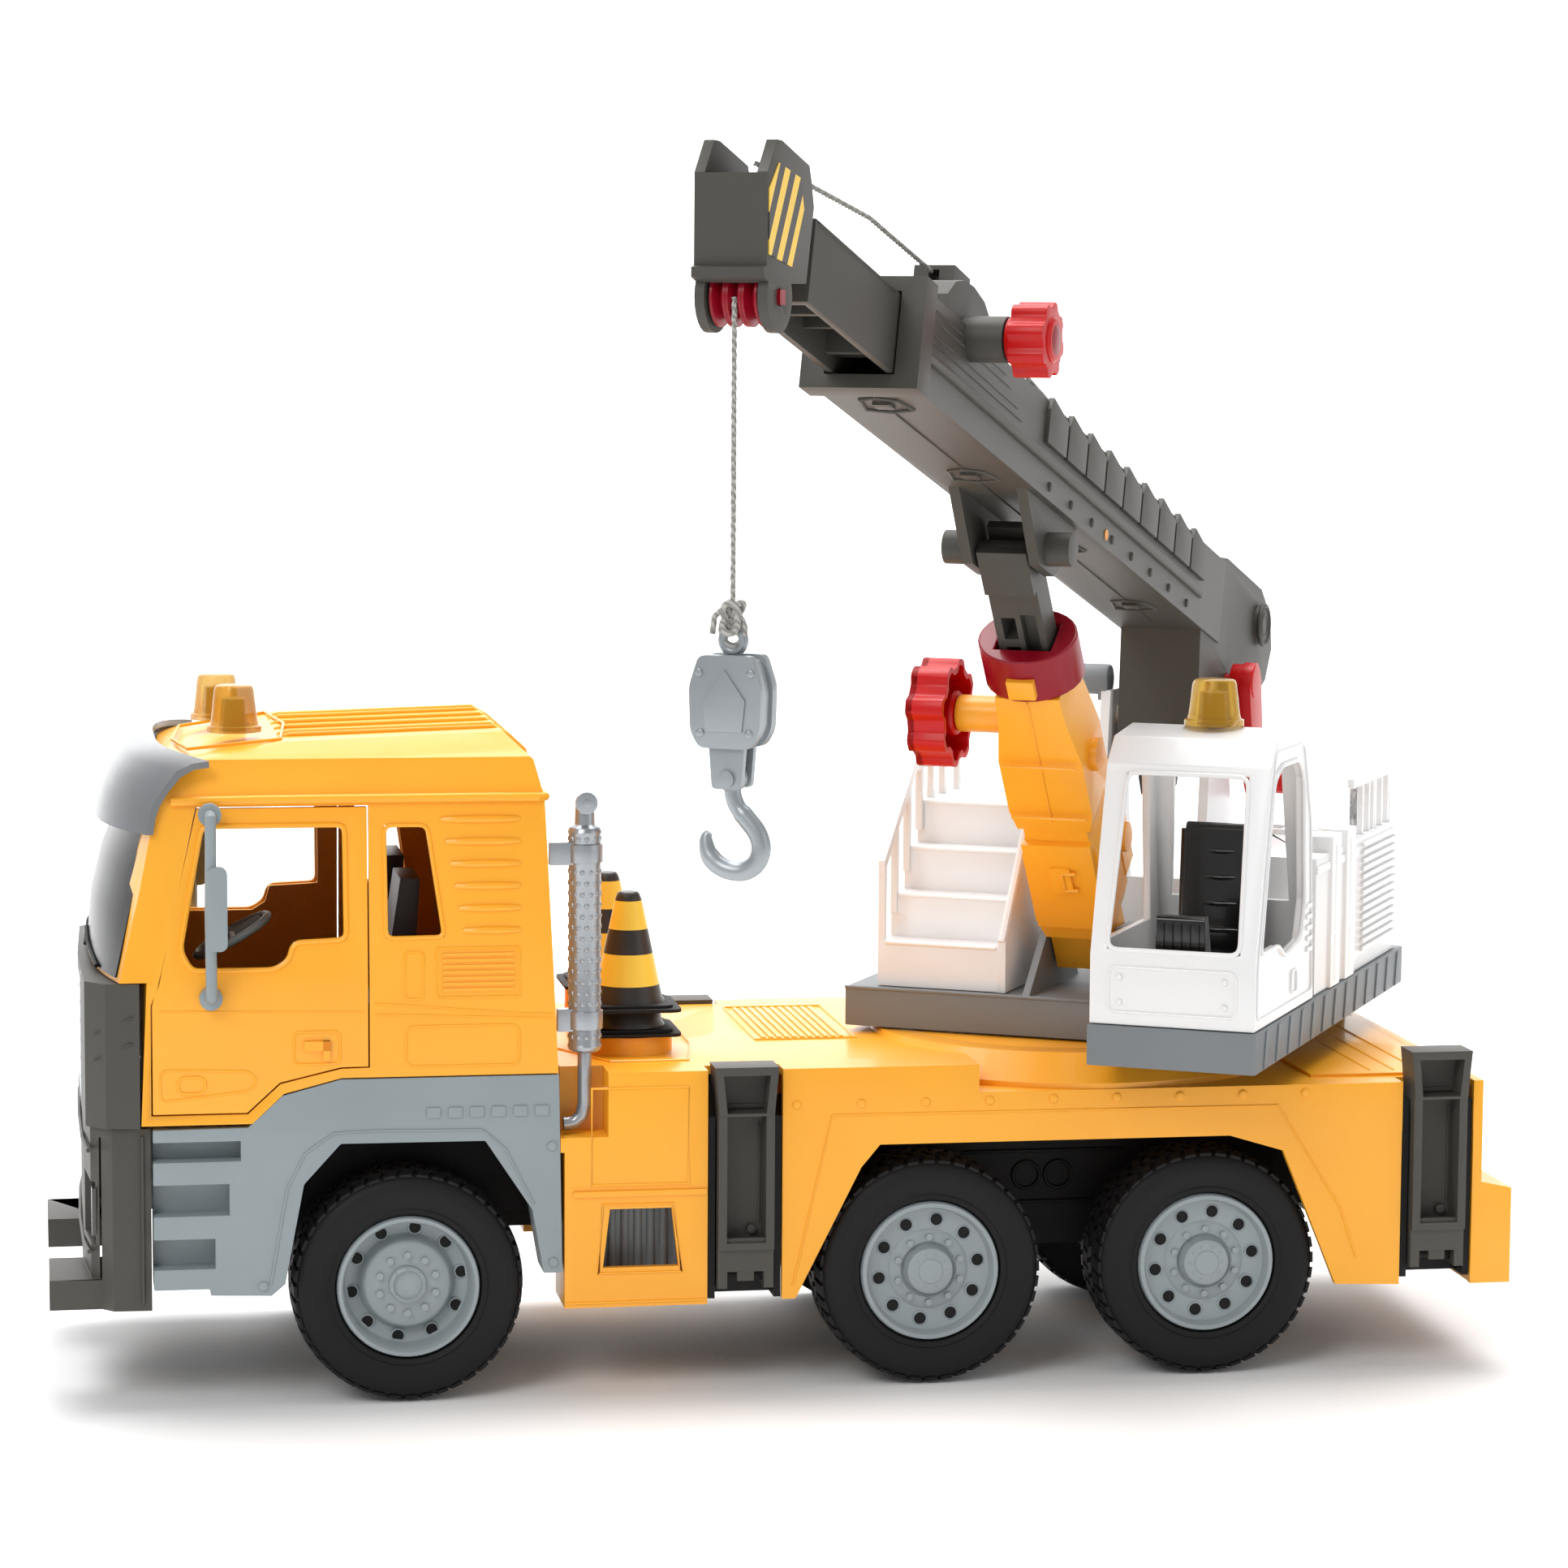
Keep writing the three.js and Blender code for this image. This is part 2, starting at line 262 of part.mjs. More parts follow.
// ---- superstructure -----------------------------------------------------
const crane = new THREE.Group();
crane.position.set(SLEW_X, 0, 0);
crane.rotation.z = THREE.MathUtils.degToRad(SLEW_DEG);
truck.add(crane);
{
  const plan = [[-50, 84], [-50, -24.4], [-101, -24.4], [-101, -85.5], [136, -85.5], [136, 84]];
  const inner = [[-47, 81], [-47, -27.4], [-98, -27.4], [-98, -82.5], [133, -82.5], [133, 81]];
  let m = cut(prismZ(plan, PLAT_Z0, PLAT_Z1), prismZ(inner, PLAT_Z0 - 1, PLAT_Z1 - WALL));
  m = add(m, cylZ(0, 0, 14, 101, PLAT_Z1 - 1, 28), box(-80, -78, -83, -26, PLAT_Z0 + 1, PLAT_Z1 - 1), box(60, 62, -83, 82, PLAT_Z0 + 1, PLAT_Z1 - 1));
  for (const y of [-15.5, 12.5]) m = add(m, prismY([[-50, 131], [-50, 133], [-24, 157], [-6, 157], [14, 133], [14, 131]], y, y + 3));
  m = cut(m, cylY(JACK_X, JACK_Z, 3.8, -20, 20, 16));
  put(crane, 'slew_platform', m, 0x7f8488, 0.5);
}
{
  let m = box(60, 112, -22.5, 22.5, PLAT_Z1 + GAP, 137);
  for (const y of [-22.5, 18.7]) m = add(m, prismY([[60, PLAT_Z1 + GAP], [74, 236], [96, 236], [112, PLAT_Z1 + GAP]], y, y + 3.8));
  m = add(m, cylY(PIVOT_X, PIVOT_Z, 3.8, -20, 20, 16), box(108, 111.5, -20, 20, 135, 150), box(60.5, 64, -20, 20, 135, 165));
  put(crane, 'boom_pedestal', m, WHITE, 0.4);
}
{ // operator's cab
  const z0 = PLAT_Z1 + GAP;
  const out = [[-100, z0], [-100, 158], [-82, 224], [-73, 233], [-50, 235.5], [-33, 233.5], [-26, 225], [-13, z0]];
  const inn = [[-97, z0 + 2.5], [-97, 157.5], [-79.5, 222.5], [-71.5, 230], [-50, 232.4], [-34.5, 230.5], [-28.8, 223.5], [-16.3, z0 + 2.5]];
  let m = cut(prismY(out, -84.8, -25), prismY(inn, -81.8, -28));
  m = cut(m, prismX([[-79, 160], [-31, 160], [-33, 221], [-77, 221]], -110, -60));
  const sideWin = [[-94, 160], [-78.5, 219], [-68, 224], [-42, 224], [-34.5, 217], [-30, 172], [-36, 158], [-60, 155], [-68, 160]];
  m = cut(m, prismY(sideWin, -90, -75), prismY([[-92, 162], [-78, 218], [-44, 222], [-36, 216], [-31, 162]], -40, -20));
  m = cut(m, prismX([[-77, 170], [-33, 170], [-35, 218], [-75, 218]], -40, -10));
  put(crane, 'crane_cab', m, WHITE, 0.3);
  let s = add(box(-60, -28, -70, -40, 136.4, 152), prismY([[-37, 150], [-34, 199], [-27.5, 199], [-24, 136.4], [-30, 136.4]].map(p => [p[0] - 0.8, p[1]]), -69, -41), box(-93, -70, -74, -36, 136.4, 158), box(-95, -27, -72, -38, 136.2, 139));
  s = add(s, box(-90, -80, -64, -46, 157, 172));
  put(crane, 'crane_interior', s, 0x141414, 0.25);
  put(crane, 'crane_beacon', latheZ(-52, -56, beaconProfile(236, 16.5, 9.4), 20), AMBER, 0.15);
}
{ // stairs with parapet and handrail
  const z0 = PLAT_Z1 + GAP;
  const st = [[-45, z0], [-45, 150], [-30, 150], [-30, 166], [-15, 166], [-15, 182], [0, 182], [0, 198], [46, 198], [46, z0]];
  let m = prismY(st, 24, 73);
  m = cut(m, prismY([[-42, z0 - 1], [-42, 147], [-27, 147], [-27, 163], [-12, 163], [-12, 179], [3, 179], [3, 195], [43, 195], [43, z0 - 1]], 27, 70));
  m = add(m, prismY([[-46, z0], [-46, 152], [-12, 200], [46, 200], [46, z0]], 23, 26));
  m = add(m, prismY([[-45, 175], [-45, 180], [-10, 214], [46, 216], [46, 212], [-8, 210]], 70.5, 73));
  for (const x of [-44.8, -31, -17, -3, 11, 25, 43.2]) m = add(m, box(x, x + 2.6, 70.5, 73, 145 + Math.max(0, Math.min(50, (x + 45) * 1.0)), x < -10 ? 178 + (x + 45) * 0.97 : 212));
  put(crane, 'stairs', m, WHITE, 0.4);
}
{ // machinery behind the operator's cab: tanks, louvred box and top rail
  const z0 = PLAT_Z1 + GAP;
  let m = cut(box(-8, 128, -84, -28, z0, 184), box(-5, 125, -81, -31, z0 - 1, 181), box(-9, 129, -48.5, -27, 174, 190));
  // the inner half of the roof steps down under the sweep of the winch handle
  m = add(m, box(-8, 128, -51.5, -28, 171, 174), box(-8, 128, -51.5, -48.5, 171, 184));
  m = add(m, prismZ(ring(9, 16, 20, -80), z0, 190), prismZ(ring(9, 16, 44, -80), z0, 190), cut(prismZ(ring(9, 16, 20, -80), z0, 190), box(0, 1, 0, 1, 0, 1)));
  m = cut(m, box(0, 60, -100, -85.2, 100, 220));
  for (const x of [64, 94, 122]) m = add(m, box(x, x + 2.6, -82, -79.4, 183, 205));
  m = add(m, box(60, 128, -82, -79.4, 203, 206.5), box(62, 64.6, -81, -49, 183, 186));
  put(crane, 'machinery_house', m, WHITE, 0.4);
}

// ---- boom, in its own leaning frame -------------------------------------
const boom = new THREE.Group();
boom.position.set(PIVOT_X, 0, PIVOT_Z);
boom.rotation.y = THREE.MathUtils.degToRad(LUFF_DEG);
crane.add(boom);
{
  let m = cut(box(-BOOM_LEN, 10, -BOOM_W, BOOM_W, BOOM_V0, BOOM_V1), box(-BOOM_LEN - 1, -38, -INNER_W - 0.6, INNER_W + 0.6, INNER_V0 - 0.6, INNER_V1 + 0.7));
  // front collar, guide block and the bush of the extension knob
  let collar = cut(box(-BOOM_LEN, -377, -19.5, 19.5, 30, 66), box(-BOOM_LEN - 1, -376, -16, 16, 33, 63));
  // raised gear housing behind the collar, its line guide and the bush of the knob shaft
  const hump = prismY([[-356, 61.9], [-354, 70], [-347, 76], [-338, 79], [-328, 79.6], [-316, 78], [-302, 71], [-290, 64.5], [-284, 61.9]], -15, 15);
  m = add(m, collar, hump, box(-326, -309, -7, 7, 74, 87.6), cylY(KNOB_U, KNOB_V, 7.5, -29.5, -13, 20));
  m = cut(m, box(-340, -300, -1.8, 1.8, 80.6, 86));
  // rear housing with the pivot lugs
  let h = prismY([[-24, BOOM_V0], [-24, BOOM_V1], [0, BOOM_V1], [16, 67], [74, 67], [92, 60], [98, 47], [92, 33], [62, 12], [32, 0], [10, -20], [-4, -20], [-10, 0], [-16, BOOM_V0]], -16, 16);
  h = cut(h, prismY([[-8, 34], [-8, 60], [72, 63], [88, 57], [94, 47], [89, 36], [60, 16], [30, 5], [15, 2], [4, 12], [-2, 30]], -13, 13));
  m = add(m, h);
  m = cut(m, box(30, 64, -6, 6, 60, 70), box(86, 100, -8, 8, 40, 54));
  m = cut(m, cylY(0, 0, 4.3, -20, 20, 20));
  m = add(m, cylY(73, 52, 8, -18.6, -15.5, 20), cylY(73, 52, 8, 15.5, 18.6, 20));
  m = cut(m, cylY(29, 20, 3.4, -20, 20, 16));
  // jack bracket with its cross pin
  for (const y of [-14, 10.2]) m = add(m, prismY([[-186, BOOM_V0 + 1], [-208, 10], [-226, 10], [-250, BOOM_V0 + 1]], y, y + 3.8));
  m = add(m, cylY(-218, 17.5, 3, -23, 23, 14), cylY(-218, 17.5, 6, -23, -13.5, 18), cylY(-218, 17.5, 6, 13.5, 23, 18));
  put(boom, 'outer_boom', m, DGREY, 0.5);
}
{
  let m = box(-INNER_U1, -INNER_U0, -INNER_W, INNER_W, INNER_V0, INNER_V1);
  m = cut(m, box(-INNER_U1 + 4, -INNER_U0 - 4, -INNER_W + 2.4, INNER_W - 2.4, INNER_V0 - 1, INNER_V1 - 3));
  for (let i = 0; i < 7; i++) m = add(m, box(-440 + i * 44, -437.6 + i * 44, -INNER_W + 1, INNER_W - 1, INNER_V0 + 4, INNER_V1 - 2));
  put(boom, 'inner_boom', m, DGREY, 0.5);
  // line along the top of the boom
  put(boom, 'string_front', tube([[-329, 0, 84.6], [-392, 0, 83.4], [-450, 0, 76.6], [-474, 0, 73], [-493, 0, 69.3]], 0.9, 6, 6), 0xa9a9a9, 0.8);
  put(boom, 'string_rear', tube([[-306, 0, 80.2], [-219, 0, 79], [-114, 0, 73], [40, 0, 71.5]], 0.9, 6, 6), 0xa9a9a9, 0.8);
}
{ // lobed knob of the telescoping drive
  const lobes = Array.from({ length: 32 }, (_, i) => { const a = i * Math.PI / 16, r = (i % 4 === 1 || i % 4 === 2) ? 12.4 : 10.2; return [KNOB_U + r * Math.cos(a), KNOB_V + r * Math.sin(a)]; });
  put(boom, 'extension_knob', add(prismY(lobes, -44.5, -32.5), cylY(KNOB_U, KNOB_V, 7, -33, -29.85, 16), cylY(KNOB_U, KNOB_V, 6.2, -46, -43.5, 16)), RED, 0.35);
}
{ // winch drum, shaft and crank
  let m = add(cylY(29, 20, 3, -24, 12.2, 16), cylY(29, 20, 6, -10, 10, 16), cylY(29, 20, 8.5, -12.2, -10, 20), cylY(29, 20, 8.5, 10, 12.2, 20));
  m = add(m, cylY(29, 20, 7, -28, -19, 16), prismY([[26, 27], [34, 27], [48, -8], [56, -18], [48, -24], [40, -18], [24, 16]], -28, -23.2), cylY(49, -16, 5, -46, -23.4, 14));
  put(boom, 'winch_crank', m, RED, 0.35);
}

// boom head: its faces stand upright in the display pose, crane frame
{
  const P = pts => pts.map(p => [-p[0], p[1]]).reverse();
  let m = prismY(P([[358.8, 390], [352.4, 412.4], [354.6, 420], [356.5, 424.4], [379.5, 430.8], [384, 431], [391.6, 421.6], [391.8, 395], [394, 394.5], [394, 391.6], [389, 390]]), -11.2, 11.2);
  m = cut(m, prismY(P([[364, 380], [360, 410], [362, 416], [372, 419], [386, 419], [388.5, 410], [388.5, 380]]), -8.4, 8.4));
  m = cut(m, prismY(P([[350, 420.6], [372, 420.6], [396, 421.6], [396, 440], [350, 440]]), -8, 8));
  for (const y of [-11.2, 8.2]) m = add(m, cylY(-381, 386, 10.4, y, y + 3, 24));
  m = cut(m, cylY(-381, 386, 2.6, -20, 20, 14));
  put(crane, 'boom_head', m, DGREY, 0.5);
  // three grooved sheaves on one axle
  const prof = [[0, -12.2], [2.2, -12.2], [2.2, -7.6], [8.3, -7.4], [5.6, -4.9], [8.3, -2.6], [5.4, 0], [8.3, 2.6], [5.6, 4.9], [8.3, 7.4], [2.2, 7.6], [2.2, 12.2], [0, 12.2]];
  put(crane, 'head_pulleys', latheY(-381, 386, prof, 20), CRIMSON, 0.3);
}

// ---- jack, in its own leaning frame -------------------------------------
const jack = new THREE.Group();
jack.position.set(JACK_X, 0, JACK_Z);
jack.rotation.y = THREE.MathUtils.degToRad(JACK_DEG);
crane.add(jack);
{
  let m = prismX([[-13.8, 66], [-15.6, 74], [-15.6, 98], [-12.5, 116], [-11.8, 127.6], [11.8, 127.6], [12.5, 116], [15.6, 98], [15.6, 74], [13.8, 66]], -13, 13);
  m = add(m, prismX([[-12, 12], [-14.6, 20], [-14.6, 52], [-12, 62], [-12, 68], [12, 68], [12, 62], [14.6, 52], [14.6, 20], [12, 12]], -12, 12));
  m = add(m, box(-8, 8, -11.8, 11.8, -7, 14), box(-15, -12, -13, 13, 20, 60), box(11, 22, -15, 15, 24, 56));
  m = cut(m, box(-7.6, 7.6, -10, 10, 30, 130));
  m = add(m, cylY(0, 0, 3.2, -18.5, 18.5, 16), cylY(0, 109, 6.5, 12, 31.5, 18));
  m = cut(m, box(-7.6, 7.6, -10, 10, 30, 130));
  m = add(m, cylY(0, 92, 6, -18, -14.5, 16), cylY(12, 42, 5.5, -18, -14, 16));
  put(jack, 'jack_body', m, ORANGE, 0.35);
  const oval = (a, b, n = 28) => Array.from({ length: n }, (_, i) => { const t = i * 2 * Math.PI / n; return [a * Math.cos(t), b * Math.sin(t)]; });
  put(jack, 'jack_collar', cut(prismZ(oval(15.5, 18), 128, 146), box(-7.8, 7.8, -10.3, 10.3, 120, 150)), CRIMSON, 0.3);
  let r = cut(box(-6, 6, -9, 9, 52, 176), box(-10, -2, -6.6, -1, 66, 160));
  for (let i = 0; i < 6; i++) r = cut(r, box(-10, 10, 1, 6.2, 84 + i * 13, 93.5 + i * 13));
  r = add(r, cut(box(-9, 9, -9, 9, 171, 189.6), box(-5.6, 5.6, -12, 12, 180.4, 200)));
  put(jack, 'jack_rod', r, DGREY, 0.5);
  const hw = Array.from({ length: 32 }, (_, i) => { const a = i * Math.PI / 16, q = (i % 4 === 1 || i % 4 === 2) ? 19.4 : 17.2; return [q * Math.cos(a), 109 + q * Math.sin(a)]; });
  put(jack, 'jack_handwheel', add(cut(prismY(hw, 32, 46), cylY(0, 109, 14.6, 31, 43, 24)), cylY(0, 109, 8, 31.9, 44, 18)), RED, 0.35);
}

// ---- line and hook, hanging plumb from the head ------------------------
put(crane, 'string_hanging', cylZ(-HOOK_F - 0.5, 0, 0.9, 290.6, 386, 6), 0xa9a9a9, 0.8);
{
  let m = prismX([[-8.5, 256], [-11.5, 262], [-11.5, 276], [-8.5, 283.5], [8.5, 283.5], [11.5, 276], [11.5, 262], [8.5, 256]], -HOOK_F - 7, -HOOK_F + 7);
  m = add(m, cut(box(-HOOK_F - 2.2, -HOOK_F + 2.2, -4.6, 4.6, 282, 290.2), cylX(0, 286.8, 2, -HOOK_F - 5, -HOOK_F + 5, 12)));
  m = add(m, box(-HOOK_F - 5.4, -HOOK_F - 2.8, -5, 5, 243, 257), box(-HOOK_F + 2.8, -HOOK_F + 5.4, -5, 5, 243, 257), cylX(0, 247, 1.8, -HOOK_F - 6, -HOOK_F + 6, 12));
  put(crane, 'hook_block', m, SILVER, 0.3, 1);
  let k = cut(add(box(-HOOK_F - 2.2, -HOOK_F + 2.2, -3.8, 3.8, 238, 251)), cylX(0, 247, 2.3, -HOOK_F - 5, -HOOK_F + 5, 12));
  k = add(k, tube([[-HOOK_F, 0, 240], [-HOOK_F, -2.5, 236], [-HOOK_F, -8, 231], [-HOOK_F, -9.4, 226], [-HOOK_F, -5.6, 221.8], [-HOOK_F, 0.4, 221], [-HOOK_F, 5.6, 223.2], [-HOOK_F, 8.2, 228]], 2.2, 8, 14));
  put(crane, 'hook', k, SILVER, 0.3, 1);
}

export default truck;
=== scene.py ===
import bpy, bmesh, json, math, random
from mathutils import Vector, Matrix, Euler
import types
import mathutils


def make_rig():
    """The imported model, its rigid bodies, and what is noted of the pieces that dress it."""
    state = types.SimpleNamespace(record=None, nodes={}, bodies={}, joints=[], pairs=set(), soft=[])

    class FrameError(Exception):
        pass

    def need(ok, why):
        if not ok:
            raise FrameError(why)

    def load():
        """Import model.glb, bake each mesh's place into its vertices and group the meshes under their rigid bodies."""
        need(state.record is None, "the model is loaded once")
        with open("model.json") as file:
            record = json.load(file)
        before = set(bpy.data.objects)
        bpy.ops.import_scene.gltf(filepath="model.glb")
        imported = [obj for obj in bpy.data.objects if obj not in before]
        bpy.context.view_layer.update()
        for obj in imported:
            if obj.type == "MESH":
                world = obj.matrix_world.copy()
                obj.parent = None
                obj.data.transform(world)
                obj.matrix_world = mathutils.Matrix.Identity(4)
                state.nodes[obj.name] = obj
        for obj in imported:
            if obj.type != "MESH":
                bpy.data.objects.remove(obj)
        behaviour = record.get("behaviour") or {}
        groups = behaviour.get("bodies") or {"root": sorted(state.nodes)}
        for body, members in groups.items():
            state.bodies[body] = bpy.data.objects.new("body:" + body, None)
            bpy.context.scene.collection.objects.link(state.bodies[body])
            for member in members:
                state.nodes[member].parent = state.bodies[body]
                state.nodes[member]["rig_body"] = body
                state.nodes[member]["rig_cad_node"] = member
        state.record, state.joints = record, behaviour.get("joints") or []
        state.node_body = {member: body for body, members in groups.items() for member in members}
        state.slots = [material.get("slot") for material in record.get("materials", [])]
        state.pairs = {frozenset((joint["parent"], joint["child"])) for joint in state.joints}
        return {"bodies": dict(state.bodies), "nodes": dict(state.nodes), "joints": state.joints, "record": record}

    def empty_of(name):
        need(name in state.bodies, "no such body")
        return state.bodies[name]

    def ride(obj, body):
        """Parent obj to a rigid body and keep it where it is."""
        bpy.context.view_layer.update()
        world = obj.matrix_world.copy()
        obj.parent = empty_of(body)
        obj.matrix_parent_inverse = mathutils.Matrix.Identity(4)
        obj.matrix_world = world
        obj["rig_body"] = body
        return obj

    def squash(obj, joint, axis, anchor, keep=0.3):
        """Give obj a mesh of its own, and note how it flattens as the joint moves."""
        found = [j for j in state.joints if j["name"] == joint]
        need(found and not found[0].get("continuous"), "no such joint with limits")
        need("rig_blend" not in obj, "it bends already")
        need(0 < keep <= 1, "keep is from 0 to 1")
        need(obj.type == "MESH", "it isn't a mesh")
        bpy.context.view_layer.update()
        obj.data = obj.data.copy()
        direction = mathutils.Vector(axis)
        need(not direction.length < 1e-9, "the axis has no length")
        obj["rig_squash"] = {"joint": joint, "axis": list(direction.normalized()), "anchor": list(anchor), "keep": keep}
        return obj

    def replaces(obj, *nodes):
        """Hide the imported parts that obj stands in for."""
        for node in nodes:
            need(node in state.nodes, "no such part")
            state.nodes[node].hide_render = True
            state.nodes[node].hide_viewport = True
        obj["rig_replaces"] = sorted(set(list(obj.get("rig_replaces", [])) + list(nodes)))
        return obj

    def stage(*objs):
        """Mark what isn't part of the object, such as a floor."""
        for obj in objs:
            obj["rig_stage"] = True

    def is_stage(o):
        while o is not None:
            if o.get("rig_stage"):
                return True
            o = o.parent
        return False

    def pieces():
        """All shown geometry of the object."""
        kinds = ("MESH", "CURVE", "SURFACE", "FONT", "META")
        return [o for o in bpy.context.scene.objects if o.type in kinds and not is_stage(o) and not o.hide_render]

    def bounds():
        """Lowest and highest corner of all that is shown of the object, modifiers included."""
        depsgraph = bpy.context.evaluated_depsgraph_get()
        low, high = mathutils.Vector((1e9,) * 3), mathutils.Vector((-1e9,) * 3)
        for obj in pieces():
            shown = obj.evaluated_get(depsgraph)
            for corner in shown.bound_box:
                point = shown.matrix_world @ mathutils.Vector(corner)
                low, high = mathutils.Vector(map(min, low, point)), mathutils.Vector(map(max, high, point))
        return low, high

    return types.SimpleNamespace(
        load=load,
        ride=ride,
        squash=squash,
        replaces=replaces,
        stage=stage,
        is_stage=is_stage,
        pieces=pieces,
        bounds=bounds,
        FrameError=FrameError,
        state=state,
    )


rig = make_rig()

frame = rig.load()
N = frame["nodes"]
cad_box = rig.bounds()
random.seed(7)

# ---------- frames, millimetres to metres -----------------------------------
SX, SY = 5.477, 86.649
K = Matrix.Scale(0.001, 4)
MT = K @ Matrix.Translation((SX, SY, 0))
MC = MT @ Matrix.Translation((119, 0, 0)) @ Matrix.Rotation(math.radians(60), 4, 'Z')
MB = MC @ Matrix.Translation((85, 0, 226)) @ Matrix.Rotation(math.radians(15.5), 4, 'Y')
MJ = MC @ Matrix.Translation((-14, 0, 150)) @ Matrix.Rotation(math.radians(-35.147), 4, 'Y')
FY = Matrix.Scale(-1, 4, (0, 1, 0))

# ---------- camera first -------------------------------------------------------
def camera():
    a, e, roll, D = math.radians(-9.742), math.radians(6.076), math.radians(0.359), 1624.5
    back = Vector((math.sin(a) * math.cos(e), -math.cos(a) * math.cos(e), math.sin(e)))
    right = Vector((math.cos(a), math.sin(a), 0))
    up = back.cross(right)
    r = math.cos(roll) * right + math.sin(roll) * up
    u = -math.sin(roll) * right + math.cos(roll) * up
    p = (Vector((-2.042 + SX, SY, 208.68)) + back * D) * 0.001
    cam = bpy.data.objects.new("camera", bpy.data.cameras.new("camera"))
    cam.data.sensor_width = 36
    cam.data.lens = 5416.9 / 1932 * 36
    cam.data.clip_start = 0.01
    cam.matrix_world = Matrix((( r.x, u.x, back.x, p.x), (r.y, u.y, back.y, p.y), (r.z, u.z, back.z, p.z), (0, 0, 0, 1)))
    bpy.context.scene.collection.objects.link(cam)
    bpy.context.scene.camera = cam
camera()

# ---------- materials ------------------------------------------------------------
def lin(h):
    c = [int(h[i:i + 2], 16) / 255 for i in (0, 2, 4)]
    return tuple((x / 12.92 if x <= 0.04045 else ((x + 0.055) / 1.055) ** 2.4) for x in c)
def base(name):
    m = bpy.data.materials.new(name); m.use_nodes = True
    nt = m.node_tree
    return m, nt, nt.nodes["Principled BSDF"]
def plastic(name, hexcol, rough=0.38, grain=0.02, bump=0.04, scale=900, spec=0.5, vary=0.05, metal=0.0, coat=0.0, sss=0.0):
    m, nt, b = base(name)
    L = nt.links.new
    tc = nt.nodes.new("ShaderNodeTexCoord")
    n1 = nt.nodes.new("ShaderNodeTexNoise"); n1.inputs["Scale"].default_value = 14; n1.inputs["Detail"].default_value = 3
    n2 = nt.nodes.new("ShaderNodeTexNoise"); n2.inputs["Scale"].default_value = scale; n2.inputs["Detail"].default_value = 2
    L(tc.outputs["Object"], n1.inputs["Vector"]); L(tc.outputs["Object"], n2.inputs["Vector"])
    c = lin(hexcol)
    ramp = nt.nodes.new("ShaderNodeValToRGB")
    ramp.color_ramp.elements[0].position = 0.3; ramp.color_ramp.elements[1].position = 0.7
    ramp.color_ramp.elements[0].color = tuple(max(0, x * (1 - vary)) for x in c) + (1,)
    ramp.color_ramp.elements[1].color = tuple(min(1, x * (1 + vary)) for x in c) + (1,)
    L(n1.outputs["Fac"], ramp.inputs["Fac"]); L(ramp.outputs["Color"], b.inputs["Base Color"])
    mr = nt.nodes.new("ShaderNodeMapRange"); mr.inputs["To Min"].default_value = rough - grain * 2; mr.inputs["To Max"].default_value = rough + grain * 2
    L(n1.outputs["Fac"], mr.inputs["Value"]); L(mr.outputs["Result"], b.inputs["Roughness"])
    bp = nt.nodes.new("ShaderNodeBump"); bp.inputs["Strength"].default_value = bump; bp.inputs["Distance"].default_value = 0.0003
    L(n2.outputs["Fac"], bp.inputs["Height"]); L(bp.outputs["Normal"], b.inputs["Normal"])
    b.inputs["Metallic"].default_value = metal
    b.inputs["Specular IOR Level"].default_value = spec
    b.inputs["Coat Weight"].default_value = coat
    if sss:
        b.inputs["Subsurface Weight"].default_value = sss; b.inputs["Subsurface Scale"].default_value = 0.002
    return m
def clear(name, hexcol, rough, alpha, trans=0.6):
    m = plastic(name, hexcol, rough, bump=0.02, spec=0.25)
    b = m.node_tree.nodes["Principled BSDF"]
    b.inputs["Transmission Weight"].default_value = trans
    b.inputs["Alpha"].default_value = alpha
    b.inputs["IOR"].default_value = 1.3
    return m
M = {
    "orange": plastic("orange", "FFAE26", 0.36, coat=0.15, sss=0.04),
    "orange_dark": plastic("orange_dark", "E89522", 0.4),
    "grey": plastic("grey", "8F999D", 0.45, spec=0.4),
    "rim": plastic("rim", "969FA2", 0.42, spec=0.4),
    "dgrey": plastic("dgrey", "4A4843", 0.5, bump=0.08, spec=0.35),
    "black": plastic("black", "141314", 0.6, spec=0.3),
    # dark brown of the cab's interior tub, which also paints shade on the orange inner walls
    "gloss": plastic("gloss_black", "121212", 0.18, coat=0.3),
    "cabin": plastic("cabin", "2A1D18", 0.4),
    "hole": plastic("hole", "050505", 0.8),
    # near-black fill for the rim holes: painted shade in place of the dark hollow behind each hole
    "tyre": plastic("tyre", "0F0F11", 0.6, bump=0.15, scale=500, spec=0.3),
    "white": plastic("white", "EDEDED", 0.3, coat=0.2, vary=0.015),
    "red": plastic("red", "C40003", 0.36, coat=0.05, spec=0.35),
    "crimson": plastic("crimson", "90001B", 0.34, coat=0.1, spec=0.35),
    "plat": plastic("plat", "7A7F82", 0.5, spec=0.35),
    "mirror": plastic("mirror_glass", "D5D8DA", 0.08, metal=1.0),
    "chrome": plastic("chrome", "A9AEB3", 0.3, metal=0.75, bump=0.06, scale=300),
    "cast": plastic("cast", "A2A8AC", 0.4, metal=0.75, bump=0.25, scale=260, vary=0.1),
    "amber": clear("amber", "D2A436", 0.12, 0.8, 0.5),
    "tint": clear("tint", "1E1F23", 0.22, 0.93, 0.05),
    "visor": clear("visor", "8A8D90", 0.2, 0.92, 0.3),
    "bulb": plastic("bulb", "B98E2C", 0.3),
    "lamp": plastic("lamp", "3A3835", 0.15, coat=0.5),
    "tail": plastic("tail", "B0101C", 0.2, coat=0.4),
}
